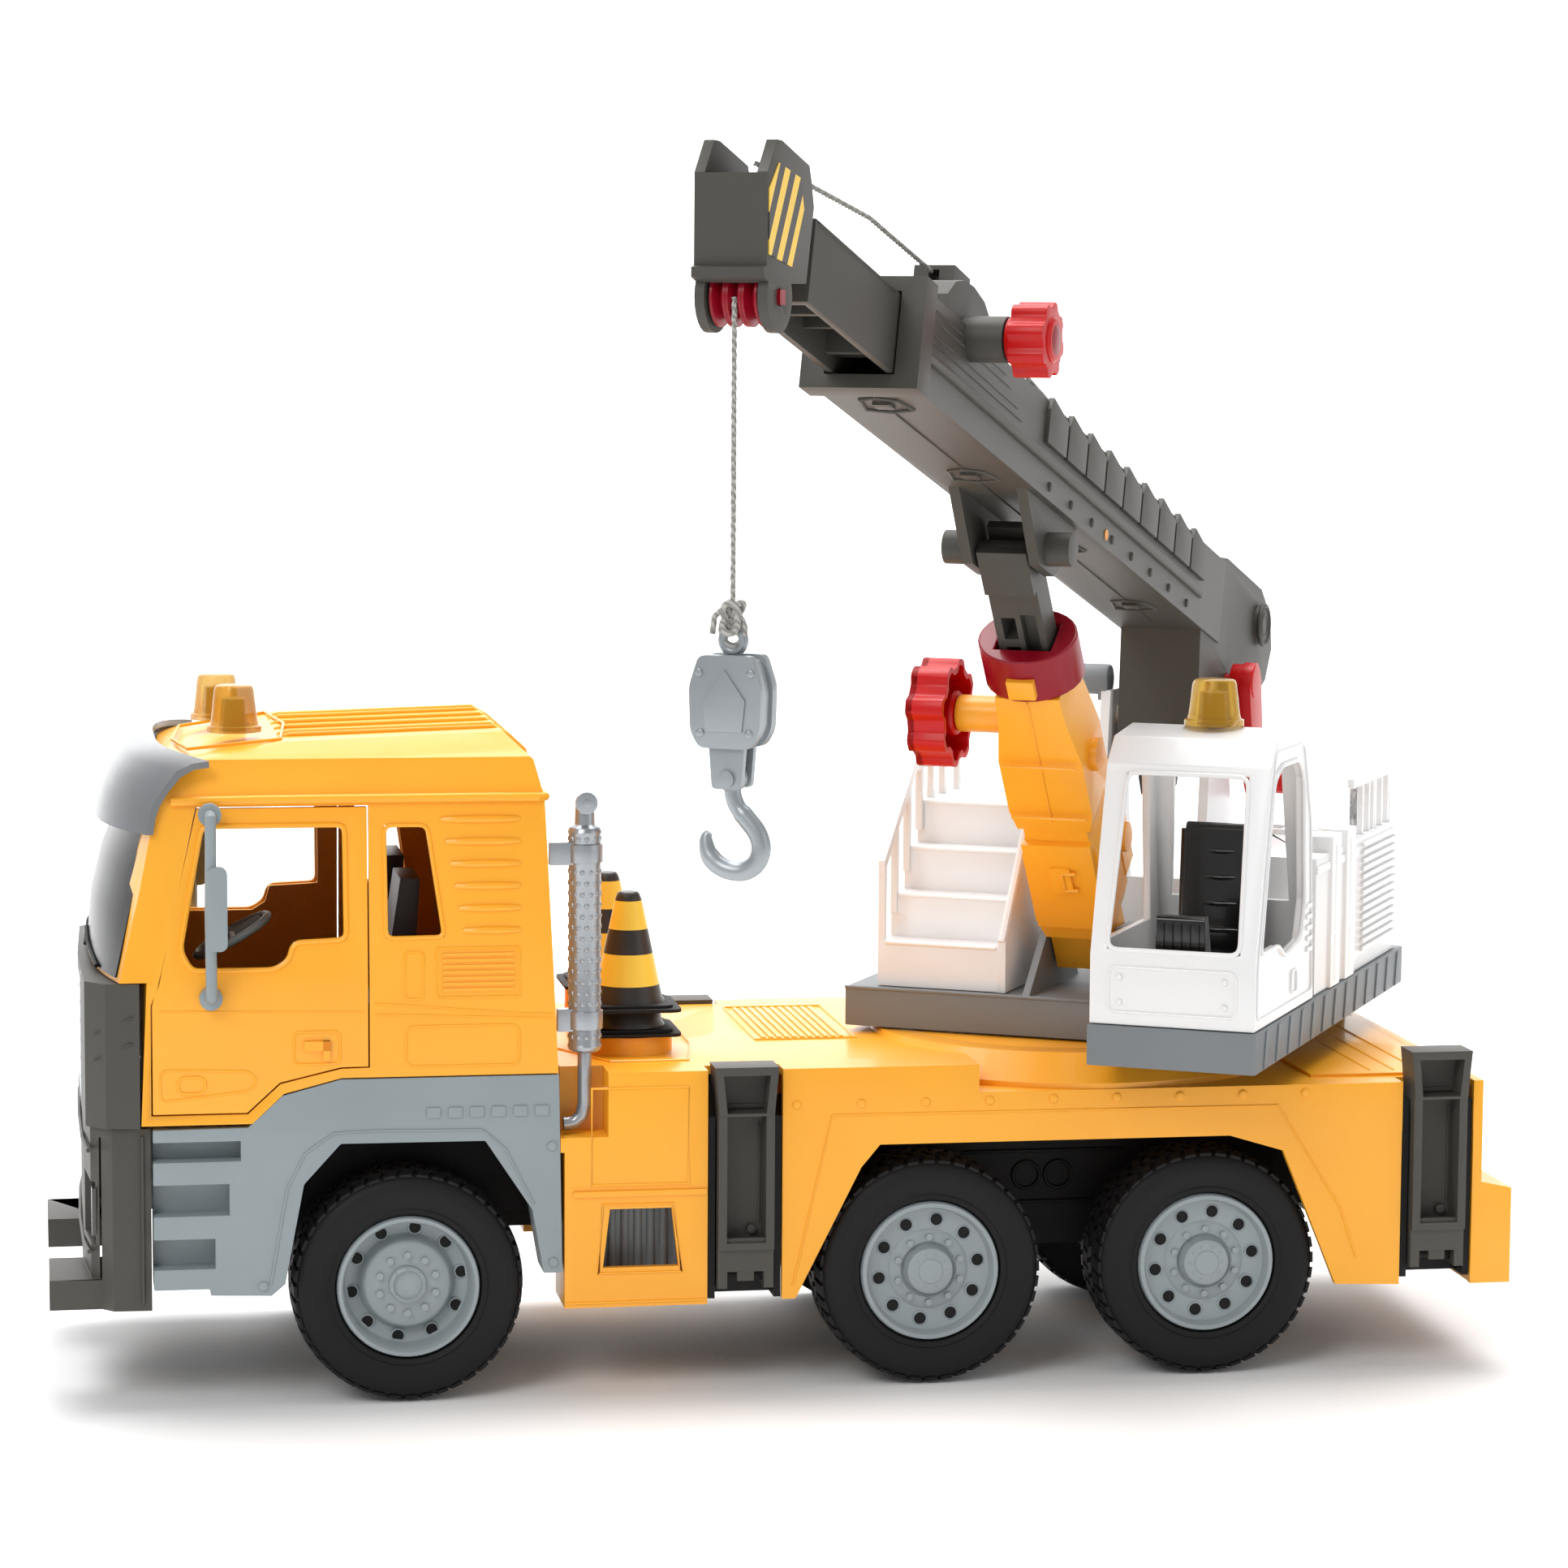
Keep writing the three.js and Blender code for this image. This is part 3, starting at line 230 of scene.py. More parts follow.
def striped(name, kind):
    """Cone bands by height above the cone's own base, or slanted hazard bars."""
    m, nt, b = base(name); L = nt.links.new
    tc = nt.nodes.new("ShaderNodeTexCoord"); sep = nt.nodes.new("ShaderNodeSeparateXYZ")
    L(tc.outputs["UV"], sep.inputs["Vector"])
    ramp = nt.nodes.new("ShaderNodeValToRGB"); ramp.color_ramp.interpolation = 'CONSTANT'
    Y, Kk = lin("FFD246") + (1,), lin("2D2927") + (1,)
    if kind == "cone":
        marks = [(0, Kk), (0.20, Y), (0.47, Kk), (0.68, Y), (0.925, Kk)]
        L(sep.outputs["Y"], ramp.inputs["Fac"])
    else:
        marks = [(0, Kk), (0.5, Y)]
        mt = nt.nodes.new("ShaderNodeMath"); mt.operation = 'FRACT'
        L(sep.outputs["X"], mt.inputs[0]); L(mt.outputs[0], ramp.inputs["Fac"])
    el = ramp.color_ramp.elements
    el[0].position, el[0].color = marks[0]
    el[1].position, el[1].color = marks[1]
    for p, c in marks[2:]:
        e = el.new(p); e.color = c
    L(ramp.outputs["Color"], b.inputs["Base Color"])
    n2 = nt.nodes.new("ShaderNodeTexNoise"); n2.inputs["Scale"].default_value = 600
    bp = nt.nodes.new("ShaderNodeBump"); bp.inputs["Strength"].default_value = 0.05; bp.inputs["Distance"].default_value = 0.0003
    L(tc.outputs["Object"], n2.inputs["Vector"]); L(n2.outputs["Fac"], bp.inputs["Height"]); L(bp.outputs["Normal"], b.inputs["Normal"])
    b.inputs["Roughness"].default_value = 0.36
    return m
M["cone"] = striped("cone_bands", "cone"); M["hazard"] = striped("hazard_bars", "hazard")
def braid():
    m, nt, b = base("braid"); L = nt.links.new
    tc = nt.nodes.new("ShaderNodeTexCoord"); w = nt.nodes.new("ShaderNodeTexWave")
    w.inputs["Scale"].default_value = 260; w.inputs["Distortion"].default_value = 2.5; w.bands_direction = 'DIAGONAL'
    ramp = nt.nodes.new("ShaderNodeValToRGB")
    ramp.color_ramp.elements[0].color = lin("8C8A85") + (1,); ramp.color_ramp.elements[1].color = lin("BDBBB6") + (1,)
    L(tc.outputs["Object"], w.inputs["Vector"]); L(w.outputs["Fac"], ramp.inputs["Fac"]); L(ramp.outputs["Color"], b.inputs["Base Color"])
    bp = nt.nodes.new("ShaderNodeBump"); bp.inputs["Strength"].default_value = 0.6; bp.inputs["Distance"].default_value = 0.0004
    L(w.outputs["Fac"], bp.inputs["Height"]); L(bp.outputs["Normal"], b.inputs["Normal"])
    b.inputs["Roughness"].default_value = 0.85
    return m
M["cord"] = braid()

# ---------- mesh building ------------------------------------------------------------
class P:
    """Gathers closed shells in one local frame, then makes them one piece."""
    def __init__(s, mat=MT): s.bm = bmesh.new(); s.m = mat
    def _new(s, verts, faces):
        v = [s.bm.verts.new(p) for p in verts]
        for f in faces:
            try: s.bm.faces.new([v[i] for i in f])
            except ValueError: pass
        return s
    def box(s, x0, x1, y0, y1, z0, z1):
        return s._new([(x, y, z) for x in (x0, x1) for y in (y0, y1) for z in (z0, z1)], [(0, 1, 3, 2), (4, 6, 7, 5), (0, 4, 5, 1), (2, 3, 7, 6), (0, 2, 6, 4), (1, 5, 7, 3)])
    def prism(s, pts, axis, a0, a1):
        def mk(p, q, a): return {'y': (p, a, q), 'x': (a, p, q), 'z': (p, q, a)}[axis]
        n = len(pts)
        v = [mk(p[0], p[1], a0) for p in pts] + [mk(p[0], p[1], a1) for p in pts]
        return s._new(v, [tuple(range(n))[::-1], tuple(range(n, 2 * n))] + [(i, (i + 1) % n, n + (i + 1) % n, n + i) for i in range(n)])
    def lathe(s, c, axis, prof, n=48, a0=0.0):
        """prof: (radius, position along axis); closed on the axis or on itself."""
        closed = prof[0][0] > 1e-6 and prof[0] == prof[-1]
        pr = prof[:-1] if closed else prof
        rings = []
        for r, h in pr:
            row = []
            for i in range(1 if r < 1e-6 else n):
                t = a0 + 2 * math.pi * i / n; a, b = r * math.cos(t), r * math.sin(t)
                p = {'y': (c[0] + a, c[1] + h, c[2] + b), 'x': (c[0] + h, c[1] + a, c[2] + b), 'z': (c[0] + a, c[1] + b, c[2] + h)}[axis]
                row.append(s.bm.verts.new(p))
            rings.append(row)
        pairs = list(zip(rings, rings[1:])) + ([(rings[-1], rings[0])] if closed else [])
        for A, B in pairs:
            for i in range(n):
                q = [A[i % len(A)], A[(i + 1) % len(A)], B[(i + 1) % len(B)], B[i % len(B)]]
                q2 = []
                for x in q:
                    if x not in q2: q2.append(x)
                if len(q2) > 2:
                    try: s.bm.faces.new(q2)
                    except ValueError: pass
        return s
    def cyl(s, c, axis, r, a0, a1, n=24, r2=None):
        r2 = r if r2 is None else r2
        return s.lathe(c, axis, [(0, a0), (r, a0), (r2, a1), (0, a1)], n)
    def tube(s, pts, r, n=8, closed=False, rad=None):
        pts = [Vector(p) for p in pts]; m = len(pts); rings = []; up = None
        for i, p in enumerate(pts):
            d = (pts[(i + 1) % m] - pts[i - 1]) if closed else (pts[min(i + 1, m - 1)] - pts[max(i - 1, 0)])
            d.normalize()
            if up is None: up = Vector((0, 0, 1)) if abs(d.z) < 0.9 else Vector((1, 0, 0))
            x = (up - d * up.dot(d)).normalized(); up = x; y = d.cross(x)
            q = rad[i] if rad else r
            rings.append([s.bm.verts.new(p + x * q * math.cos(t) + y * q * math.sin(t)) for t in (2 * math.pi * k / n for k in range(n))])
        for i in range(m if closed else m - 1):
            A, B = rings[i], rings[(i + 1) % m]
            for k in range(n):
                try: s.bm.faces.new((A[k], A[(k + 1) % n], B[(k + 1) % n], B[k]))
                except ValueError: pass
        if not closed: s.bm.faces.new(rings[0][::-1]); s.bm.faces.new(rings[-1])
        return s
    def dome(s, c, axis, r, h, sgn=-1, n=16):
        return s.lathe(c, axis, [(0, 0), (r, 0), (r * .95, sgn * h * .45), (r * .7, sgn * h * .85), (0, sgn * h)], n)
    def copy_node(s, name, plain=False):
        m = N[name].data; inv = s.m.inverted()
        v = [s.bm.verts.new(inv @ x.co) for x in m.vertices]
        for p in m.polygons:
            try: s.bm.faces.new([v[i] for i in p.vertices])
            except ValueError: pass
        bmesh.ops.remove_doubles(s.bm, verts=s.bm.verts, dist=0.004)
        if not plain: bmesh.ops.dissolve_limit(s.bm, angle_limit=math.radians(1.5), verts=s.bm.verts, edges=s.bm.edges)
        return s
    def mirrored(s):
        g = s.bm.verts[:] + s.bm.edges[:] + s.bm.faces[:]
        d = bmesh.ops.duplicate(s.bm, geom=g)
        vs = [x for x in d["geom"] if isinstance(x, bmesh.types.BMVert)]
        for v in vs: v.co.y = -v.co.y
        return s
    def done(s, name, body, mat, bevel=0.35, seg=2, angle=28, repl=(), extra=None, smooth=34, uv=None):
        bm = s.bm
        bmesh.ops.recalc_face_normals(bm, faces=bm.faces)
        if bevel:
            es = [e for e in bm.edges if len(e.link_faces) == 2 and e.calc_face_angle(0) > math.radians(angle)]
            bmesh.ops.bevel(bm, geom=es, offset=bevel, segments=seg, profile=0.7, affect='EDGES', clamp_overlap=True)
        if uv:
            lay = bm.loops.layers.uv.new("UVMap")
            for f in bm.faces:
                for l in f.loops: l[lay].uv = uv(l.vert.co)
        me = bpy.data.meshes.new(name)
        bm.transform(s.m); bmesh.ops.recalc_face_normals(bm, faces=bm.faces)
        bm.to_mesh(me); bm.free()
        me.shade_smooth(); me.set_sharp_from_angle(angle=math.radians(smooth))
        me.materials.append(M[mat])
        o = bpy.data.objects.new(name, me)
        bpy.context.scene.collection.objects.link(o)
        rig.ride(o, body)
        if repl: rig.replaces(o, *repl)
        return o
rr = lambda x0, x1, z0, z1, r, k=5: [(cx + r * math.cos(a), cz + r * math.sin(a)) for cx, cz, s0 in ((x1 - r, z1 - r, 0), (x0 + r, z1 - r, 1), (x0 + r, z0 + r, 2), (x1 - r, z0 + r, 3)) for a in (math.pi / 2 * (s0 + i / k) for i in range(k + 1))]
def rounded(pts, r, k=4):
    out = []
    n = len(pts)
    for i in range(n):
        p, a, b = Vector(pts[i]), Vector(pts[i - 1]), Vector(pts[(i + 1) % n])
        da, db = (a - p), (b - p)
        q = min(r, da.length * 0.45, db.length * 0.45)
        A, B = p + da.normalized() * q, p + db.normalized() * q
        for j in range(k + 1):
            t = j / k; out.append(tuple((1 - t) ** 2 * A + 2 * t * (1 - t) * p + t * t * B))
    return out
ys = lambda z: -80 + max(0, z - 150) / 63 * 4     # the cab's side surface
ON = lambda pts, off=0: [(x, ys(z) - off, z) for x, z in pts]

# every CAD node that keeps its shape becomes a moulding with softened edges
def moulded(node, mat, bevel=0.5, body=None, m=MT, **kw):
    return P(m).copy_node(node).done(node + "_moulding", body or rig.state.node_body[node], mat, bevel=bevel, repl=(node,), **kw)

# ---------- cab -------------------------------------------------------------------------
def lerp(tab, v):
    for (a, p), (b, q) in zip(tab, tab[1:]):
        if v <= b: return p + (q - p) * max(0, (v - a)) / (b - a)
    return tab[-1][1]
def front(y, z):
    side = lerp([(150, -247.4), (199, -235.6), (213, -233.5), (228, -226)], z)
    mid = lerp([(150, -256.3), (172, -255), (190, -250.5), (206, -243.5), (228, -229)], z)
    return side + (mid - side) * (1 - min(1, abs(y) / 79) ** 2.4)
def curved(bm, z0=148.5):
    for yy in (-74, -66, -56, -42, -26, -9, 9, 26, 42, 56, 66, 74):
        bmesh.ops.bisect_plane(bm, geom=bm.verts[:] + bm.edges[:] + bm.faces[:], plane_co=(0, yy, 0), plane_no=(0, 1, 0))
    for v in bm.verts:
        if v.co.z < z0 or v.co.x > -222: continue
        flat = lerp([(151, -250.5), (183, -243), (213, -235), (225, -228), (236, -225)], v.co.z)
        w = min(1, max(0, (-v.co.x - 222) / (-flat - 222 + 1e-6)))
        v.co.x += (front(v.co.y, v.co.z) - flat) * w * w * (3 - 2 * w)
p = P().copy_node("cab_shell"); curved(p.bm)
p.done("cab_shell_moulding", "root", "orange", bevel=0.8, seg=3, angle=32, repl=("cab_shell",), smooth=50)
p = P(); zs = [152.5 + i * 5.2 for i in range(11)]; yy_ = [-75.4 + i * 150.8 / 32 for i in range(33)]
o_ = [[p.bm.verts.new((front(y, z) - .7, y * (1 - max(0, z - 152) / 52 * .05), z)) for y in yy_] for z in zs]
i_ = [[p.bm.verts.new((front(y, z) + 1.2, y * (1 - max(0, z - 152) / 52 * .05), z)) for y in yy_] for z in zs]
for a in range(10):
    for b in range(32):
        p.bm.faces.new((o_[a][b], o_[a][b + 1], o_[a + 1][b + 1], o_[a + 1][b])); p.bm.faces.new((i_[a][b], i_[a + 1][b], i_[a + 1][b + 1], i_[a][b + 1]))
rim_ = lambda g: g[0][:] + [r_[-1] for r_ in g[1:]] + g[-1][-2::-1] + [r_[0] for r_ in g[-2:0:-1]]
A_, B_ = rim_(o_), rim_(i_)
for k_ in range(len(A_)): p.bm.faces.new((A_[k_], B_[k_], B_[(k_ + 1) % len(A_)], A_[(k_ + 1) % len(A_)]))
p.done("windshield_glass", "root", "tint", bevel=0, repl=("windshield",), smooth=60)
p = P(); prof_ = [(-254, 203), (-253, 209), (-251.5, 213.5), (-248, 220.5), (-243.5, 226.2), (-238, 228.8), (-232.5, 229.6), (-232.3, 227.4), (-237.6, 226.6), (-242, 224.2), (-246.3, 219), (-249.3, 212.8), (-250.8, 208.6), (-251.6, 203)]
rings_ = []
for i in range(41):
    y = -78.6 + i * 157.2 / 40; t = abs(y) / 78.6
    rings_.append([p.bm.verts.new((x + 16.5 * t ** 3.4, y, z - 2.2 * t ** 5 * (1 if z > 215 else 0.4))) for x, z in prof_])
for a, b in zip(rings_, rings_[1:]):
    for k_ in range(14): p.bm.faces.new((a[k_], a[(k_ + 1) % 14], b[(k_ + 1) % 14], b[k_]))
p.bm.faces.new(rings_[0]); p.bm.faces.new(rings_[-1][::-1])
p.done("sun_visor_moulding", "root", "visor", bevel=0, repl=("sun_visor",), smooth=40)
moulded("door_left", "orange", 0.45)
moulded("door_right", "orange", 0.45)
# cab interior in one dark brown: the tub's colour plus painted shade on the orange inner walls
moulded("cab_interior", "cabin", 0.8)
moulded("cab_fenders", "grey", 0.6)
moulded("front_panel", "dgrey", 0.9, seg=3)
moulded("front_bumper", "dgrey", 1.2, seg=3)
moulded("chassis_frame", "black", 0.5)
moulded("deck_body", "orange", 0.5)

# raised lines and panels on both cab sides
p = P()
louv = [(541, 643), (546, 643), (551, 643), (556, 643), (562, 643), (567, 643)]
for i in range(6):
    z = 206 - i * 7.75; x0, x1 = -136.5 + i * 1.5, -108
    p.tube(ON([(x0, z), (x0 + 1, z), (x0 + 8, z), (x1 - 8, z), (x1 - 1, z), (x1, z)]), 1.3, 8, rad=[.2, 1.0, 1.35, 1.35, 1.0, .2])
for i in range(7):
    z = 158.9 - i * 2.05
    p.box(-136, -110.5, ys(z) - 0.5, ys(z) + 0.5, z - 0.55, z + 0.55)
for pts in (rr(-137.9, -108.8, 144, 161.2, 1), rr(-149, -142.5, 143.6, 160, 1.5), rr(-148.7, -109, 119.9, 134, 3)):
    p.tube(ON(pts), 0.45, 6, closed=True)
p.tube(ON(rounded([(-155.8, 204.2), (-155.4, 164.9), (-135.1, 165.1), (-140.9, 204.2)], 3)), 0.8, 8, closed=True)
p.tube(ON([(-159.5, 142.3), (-149, 141.5), (-110, 146 - 8), (-97.5, 137.5)]), 0.35, 6)
p.tube(ON([(-159.5, 138.5), (-97, 136)]), 0.35, 6)
p.tube([(-229, ys(213) - .5, 213.2), (-200, ys(213) - .7, 213.6), (-120, ys(213) - .7, 213.6), (-102, ys(213) - .6, 213.4), (-99.2, ys(213) + 2, 213.3)], 1.6, 8)
p.mirrored().done("cab_side_relief", "root", "orange", bevel=0)
p = P().tube([(-99.2, y, 213.3) for y in (-74, -40, 0, 40, 74)], 1.5, 8)
# roof panel ribs that run over the rounded rear edge
for y in (-56, -40, -30, -10, 10, 30, 40, 56):
    t = max(0, (abs(y) - 52)) * 0.5
    p.tube([(-190, y, 231.6 - t), (-186, y, 232.6 - t), (-150, y, 233.7 - t), (-114, y, 234.8 - t), (-108.5, y, 231.6 - t), (-103, y, 226.5 - t), (-100.8, y, 219 - t)], 0.9, 8)
p.tube([(x, y, z) for x, y, z in [(-222, -44, 228.3), (-190, -52, 232.3), (-186, 0, 233), (-190, 52, 232.3), (-222, 44, 228.3), (-226, 0, 227.5)]], 0.6, 8, closed=True)
p.done("cab_roof_ribs", "root", "orange", bevel=0)
for sn, s in (("left", 1), ("right", -1)):
    m = MT if s > 0 else MT @ FY
    p = P(m)
    win = [(-218.6, 204.6), (-226.3, 162), (-222.5, 154.8), (-194, 154.8), (-189, 158), (-187.5, 164), (-169.2, 164.8), (-169.5, 204.6)]
    p.tube(ON(rounded(win, 3)), 0.95, 8, closed=True)
    p.tube(ON(rr(-187.5, -171.5, 121.5, 132.8, 2)), 0.5, 6, closed=True)
    p.box(-184, -175, ys(125) - 1.2, ys(125), 126.2, 129.6); p.box(-177.5, -175, ys(125) - 1.2, ys(125), 122.8, 129.6)
    p.tube(ON(rounded([(-233.5, 120.5), (-203, 119.5), (-200, 116), (-203, 112.6), (-233.5, 109.3)], 3)), 0.45, 6, closed=True)
    p.tube(ON([(x + 0, z) for x, z in rr(-227.5, -218, 112, 117.8, 2.6)]), 0.6, 6, closed=True)
    p.tube(ON([(-234, 141), (-163, 139.5)]), 0.3, 6)
    p.done(f"door_{sn}_relief", f"door_{sn}_body", "orange", bevel=0)
    p = P(m)
    p.tube([(-216, -84, 209.5), (-216, -88, 209), (-216, -88.3, 200), (-216.2, -88.3, 176), (-216, -88.3, 152), (-216, -88, 146.5), (-216, -84, 145.6)], 2.0, 12)
    p.cyl((-216, 0, 209.3), 'y', 4.0, -84.5, -80.5, 20).cyl((-216, 0, 145.6), 'y', 4.0, -84.5, -80.5, 20)
    p.prism(rr(-217.2, -210.5, 163, 192, 2.5), 'y', -91.6, -87.4)
    p.done(f"mirror_{sn}_arm", f"door_{sn}_body", "grey", bevel=0.5, repl=(f"mirror_{sn}",))
# beacons
def beacon(name, node, c, z, r, h, m, body):
    p = P(m).lathe((c[0], c[1], z), 'z', [(0, 0), (r * 1.14, 0), (r * 1.14, 2), (r * 1.02, 2.5), (r * .98, 4), (r * .84, h - 1.6), (r * .78, h - .4), (r * .7, h), (0, h)], 40)
    p.done(name, body, "amber", bevel=0, repl=(node,))
    p = P(m).lathe((c[0], c[1], z), 'z', [(0, .3), (r * .5, .3), (r * .42, h * .7), (0, h * .75)], 20)
    p.done(name + "_core", body, "bulb", bevel=0)
beacon("beacon_left_lens", "beacon_left", (-205, -30), 233, 8.4, 16.5, MT, "root")
beacon("beacon_right_lens", "beacon_right", (-209, 24), 232.6, 8.4, 16.5, MT, "root")
beacon("crane_beacon_lens", "crane_beacon", (-52, -56), 236, 9.4, 16.5, MC, "superstructure")
# interior steering wheel
p = P()
R = Matrix.Translation((-206, -36, 160)) @ Matrix.Rotation(-0.5, 4, 'Y')
p.tube([R @ Vector((14.2 * math.cos(t), 14.2 * math.sin(t), 1.2)) for t in (i * math.pi / 18 for i in range(36))], 1.5, 10, closed=True)
for a in (0.5, 2.6, 4.7): p.tube([R @ Vector((0, 0, 1.5)), R @ Vector((14 * math.cos(a), 14 * math.sin(a), 1.2))], 1.3, 8)
p.done("steering_wheel_rim", "root", "grey", bevel=0)
# grille bars, lamps, bumper relief
p = P()
for i in range(7):
    z = 105.6 + i * 6.6
    p.prism([(-260.2, z - 1.1), (-256.6, z - 1.6), (-256.6, z + 1.4), (-260.2, z + .4)], 'y', -37.6, 37.6)
p.tube([(-259, -38, 103), (-259, -38.6, 148.5), (-259, 38.6, 148.5), (-259, 38, 103)], 0.9, 8, closed=True)
p.done("grille_bars", "root", "chrome", bevel=0.25)
p = P()
for s in (-1, 1):
    p.prism([(s * 47, 60), (s * 70, 61), (s * 71, 78), (s * 48, 76)], 'x', -257.2, -255.6)
p.done("head_lamps", "root", "lamp", bevel=0.4)
p = P()
p.tube([(-258.2, -74, 92), (-259.8, -50, 92), (-260.3, 0, 92), (-259.8, 50, 92), (-258.2, 74, 92)], 0.8, 8)
p.tube([(-258.2, -72, 56), (-259.6, -50, 55), (-260.3, 0, 54), (-259.6, 50, 55), (-258.2, 72, 56)], 0.8, 8)
p.tube([(-239.8, -77.4, 97), (-239.8, -77.4, 38)], 0.7, 6); p.tube([(-239.8, 77.4, 97), (-239.8, 77.4, 38)], 0.7, 6)
for z in (130, 139): p.tube([(-243, -79.8, z), (-256, -75, z - 6)], 0.4, 6)
p.done("bumper_relief", "root", "dgrey", bevel=0)
# fender relief: squares and screws
p = P()
for i in range(6): p.box(-141.5 + i * 7.6, -136.7 + i * 7.6, -80.6, -79, 101.6, 105.2)
for x, z in ((-97.5, 90.5), (-97, 49), (-198.5, 43.5)): p.dome((x, -80, z), 'y', 1.9, 1.0)
p.tube([(x, -80.1, z) for x, z in ((-196, 44), (-190, 78), (-184, 90), (-174, 97), (-160, 97.5), (-122, 97), (-114, 90), (-104, 70))], 0.5, 6)
p.mirrored().done("fender_relief", "root", "grey", bevel=0.25)
# wipers
P().tube([(front(y, z) - 1.4, y, z) for y, z in ((-50, 153), (-20, 157), (0, 160))], 0.8, 6).tube([(front(y, z) - 1.4, y, z) for y, z in ((6, 153), (30, 158), (52, 161))], 0.8, 6).done("wipers", "root", "black", bevel=0)

# ---------- exhaust ------------------------------------------------------------------------
p = P()
c = (-85, -71, 0)
p.lathe(c, 'z', [(0, 122.5), (4.6, 122.5), (5.6, 123.2), (6.1, 124.6), (5.7, 125.6), (5.7, 199.6), (6.1, 200.4), (5.4, 202), (3.6, 203), (3.5, 207), (0, 207)], 40)
for j in range(19):
    z = 128 + j * 3.9
    for i in range(12):
        a = (i + 0.5 * (j % 2)) * math.pi / 6
        q = (c[0] + 5.6 * math.cos(a), c[1] + 5.6 * math.sin(a), z)
        n0 = Vector((math.cos(a), math.sin(a), 0)); t0 = Vector((-math.sin(a), math.cos(a), 0)); u0 = Vector((0, 0, 1))
        ring = [p.bm.verts.new(Vector(q) + (t0 * math.cos(k * math.pi / 4) + u0 * math.sin(k * math.pi / 4)) * 1.05) for k in range(8)]
        ring2 = [p.bm.verts.new(Vector(q) + n0 * 0.42 + (t0 * math.cos(k * math.pi / 4) + u0 * math.sin(k * math.pi / 4)) * 0.62) for k in range(8)]
        for k in range(8): p.bm.faces.new((ring[k], ring[(k + 1) % 8], ring2[(k + 1) % 8], ring2[k]))
        p.bm.faces.new(ring2)
        p.bm.faces.new(ring[::-1])
p.tube([(-85, -71, 205), (-85, -71, 208), (-85, -72.5, 210.4), (-85, -75.4, 211)], 3.5, 16).cyl((-85, 0, 211), 'y', 3.9, -77, -74.5, 24)
p.lathe((-85, 0, 211), 'y', [(0, -77.4), (1.4, -77.4), (1.4, -76.6), (0, -76.6)], 16)
p.tube([(-85, -71, 124), (-85, -71, 112), (-85, -71, 104), (-86, -71, 99.6), (-88.4, -71, 97.3), (-90.6, -71, 96.8), (-92.5, -71, 96.7)], 2.5, 16)
for z0, z1 in ((189, 197), (130, 138)):
    p.box(-97.8 if z0 > 150 else -94.9, -85, -74.5, -70, z0, z1)
    p.cyl(c, 'z', 6.5, (z0 + z1) / 2 - 3.2, (z0 + z1) / 2 + 3.2, 32)
p.done("exhaust_stack_plated", "root", "chrome", bevel=0.25, repl=("exhaust_stack",))

# ---------- deck relief ---------------------------------------------------------------------
p = P()
for i in range(9):
    x = -10.5 + i * 23.3
    p.dome((x, -80, 103), 'y', 1.7, 0.9)
p.tube([(x, -80, z) for x, z in ((-11.5, 38), (2.2, 99), (165.9, 98.6), (190, 60), (196, 42))], 0.5, 6)
for pts in ([(-83.5, 110.5), (-49, 110.5), (-49, 76), (-83.5, 76)], [(-79.5, 69), (-54.5, 69), (-51.5, 44.5), (-81, 44.5)]):
    p.tube([(x, -80, z) for x, z in pts], 0.6, 6, closed=True)
p.box(-90, -42.6, -81, -79.5, 72, 74)
p.tube([(-93, -80, 34), (-42.6, -80, 34)], 0.6, 6)
p.mirrored()
# ribbed deck panel ahead of the turntable
for i in range(11): p.box(-12 + i * 2.9, -10.6 + i * 2.9, -14, 56, 115.8, 116.6)
p.tube([(x, y, 116.1) for x, y in ((-15, -17), (22.5, -17), (22.5, 59), (-15, 59))], 0.5, 6, closed=True)
p.tube([(x, y, 116.1) for x, y in ((-92, -22), (-74, -58), (-46, -58), (-40, -22), (-40, 22), (-46, 58), (-74, 58), (-92, 22))], 0.6, 6, closed=True)
p.prism([(182, -66), (236, -66), (236, 66), (182, 66)], 'z', 105.6, 107.1)
for i in range(3): p.tube([(206 + i * 9, -60, 107), (206 + i * 9, 60, 107)], 0.5, 6)
p.box(-51, -41, 78.6, 80, 115.5, 117)
p.done("deck_relief", "root", "orange", bevel=0.3)
P().lathe((104, 0, 0), 'z', [(0, 105), (79.3, 105), (79.3, 108), (70.2, 117.7), (60, 117.75), (59, 117.2), (0, 117.2)], 96).done("turntable_plinth", "root", "orange", bevel=0)
p = P()
for y in (-60, 60): p.box(243, 243.9, y - 10 if y < 0 else y - 8, y + 8 if y < 0 else y + 10, 71, 94)
p.done("tail_lamps", "root", "tail", bevel=0.5)
P().prism(rr(-52, -42, 0, 7, 2), 'y', 76.5, 79).done("far_tab", "root", "grey", bevel=0.4).location = (0, 0, 0.1155)
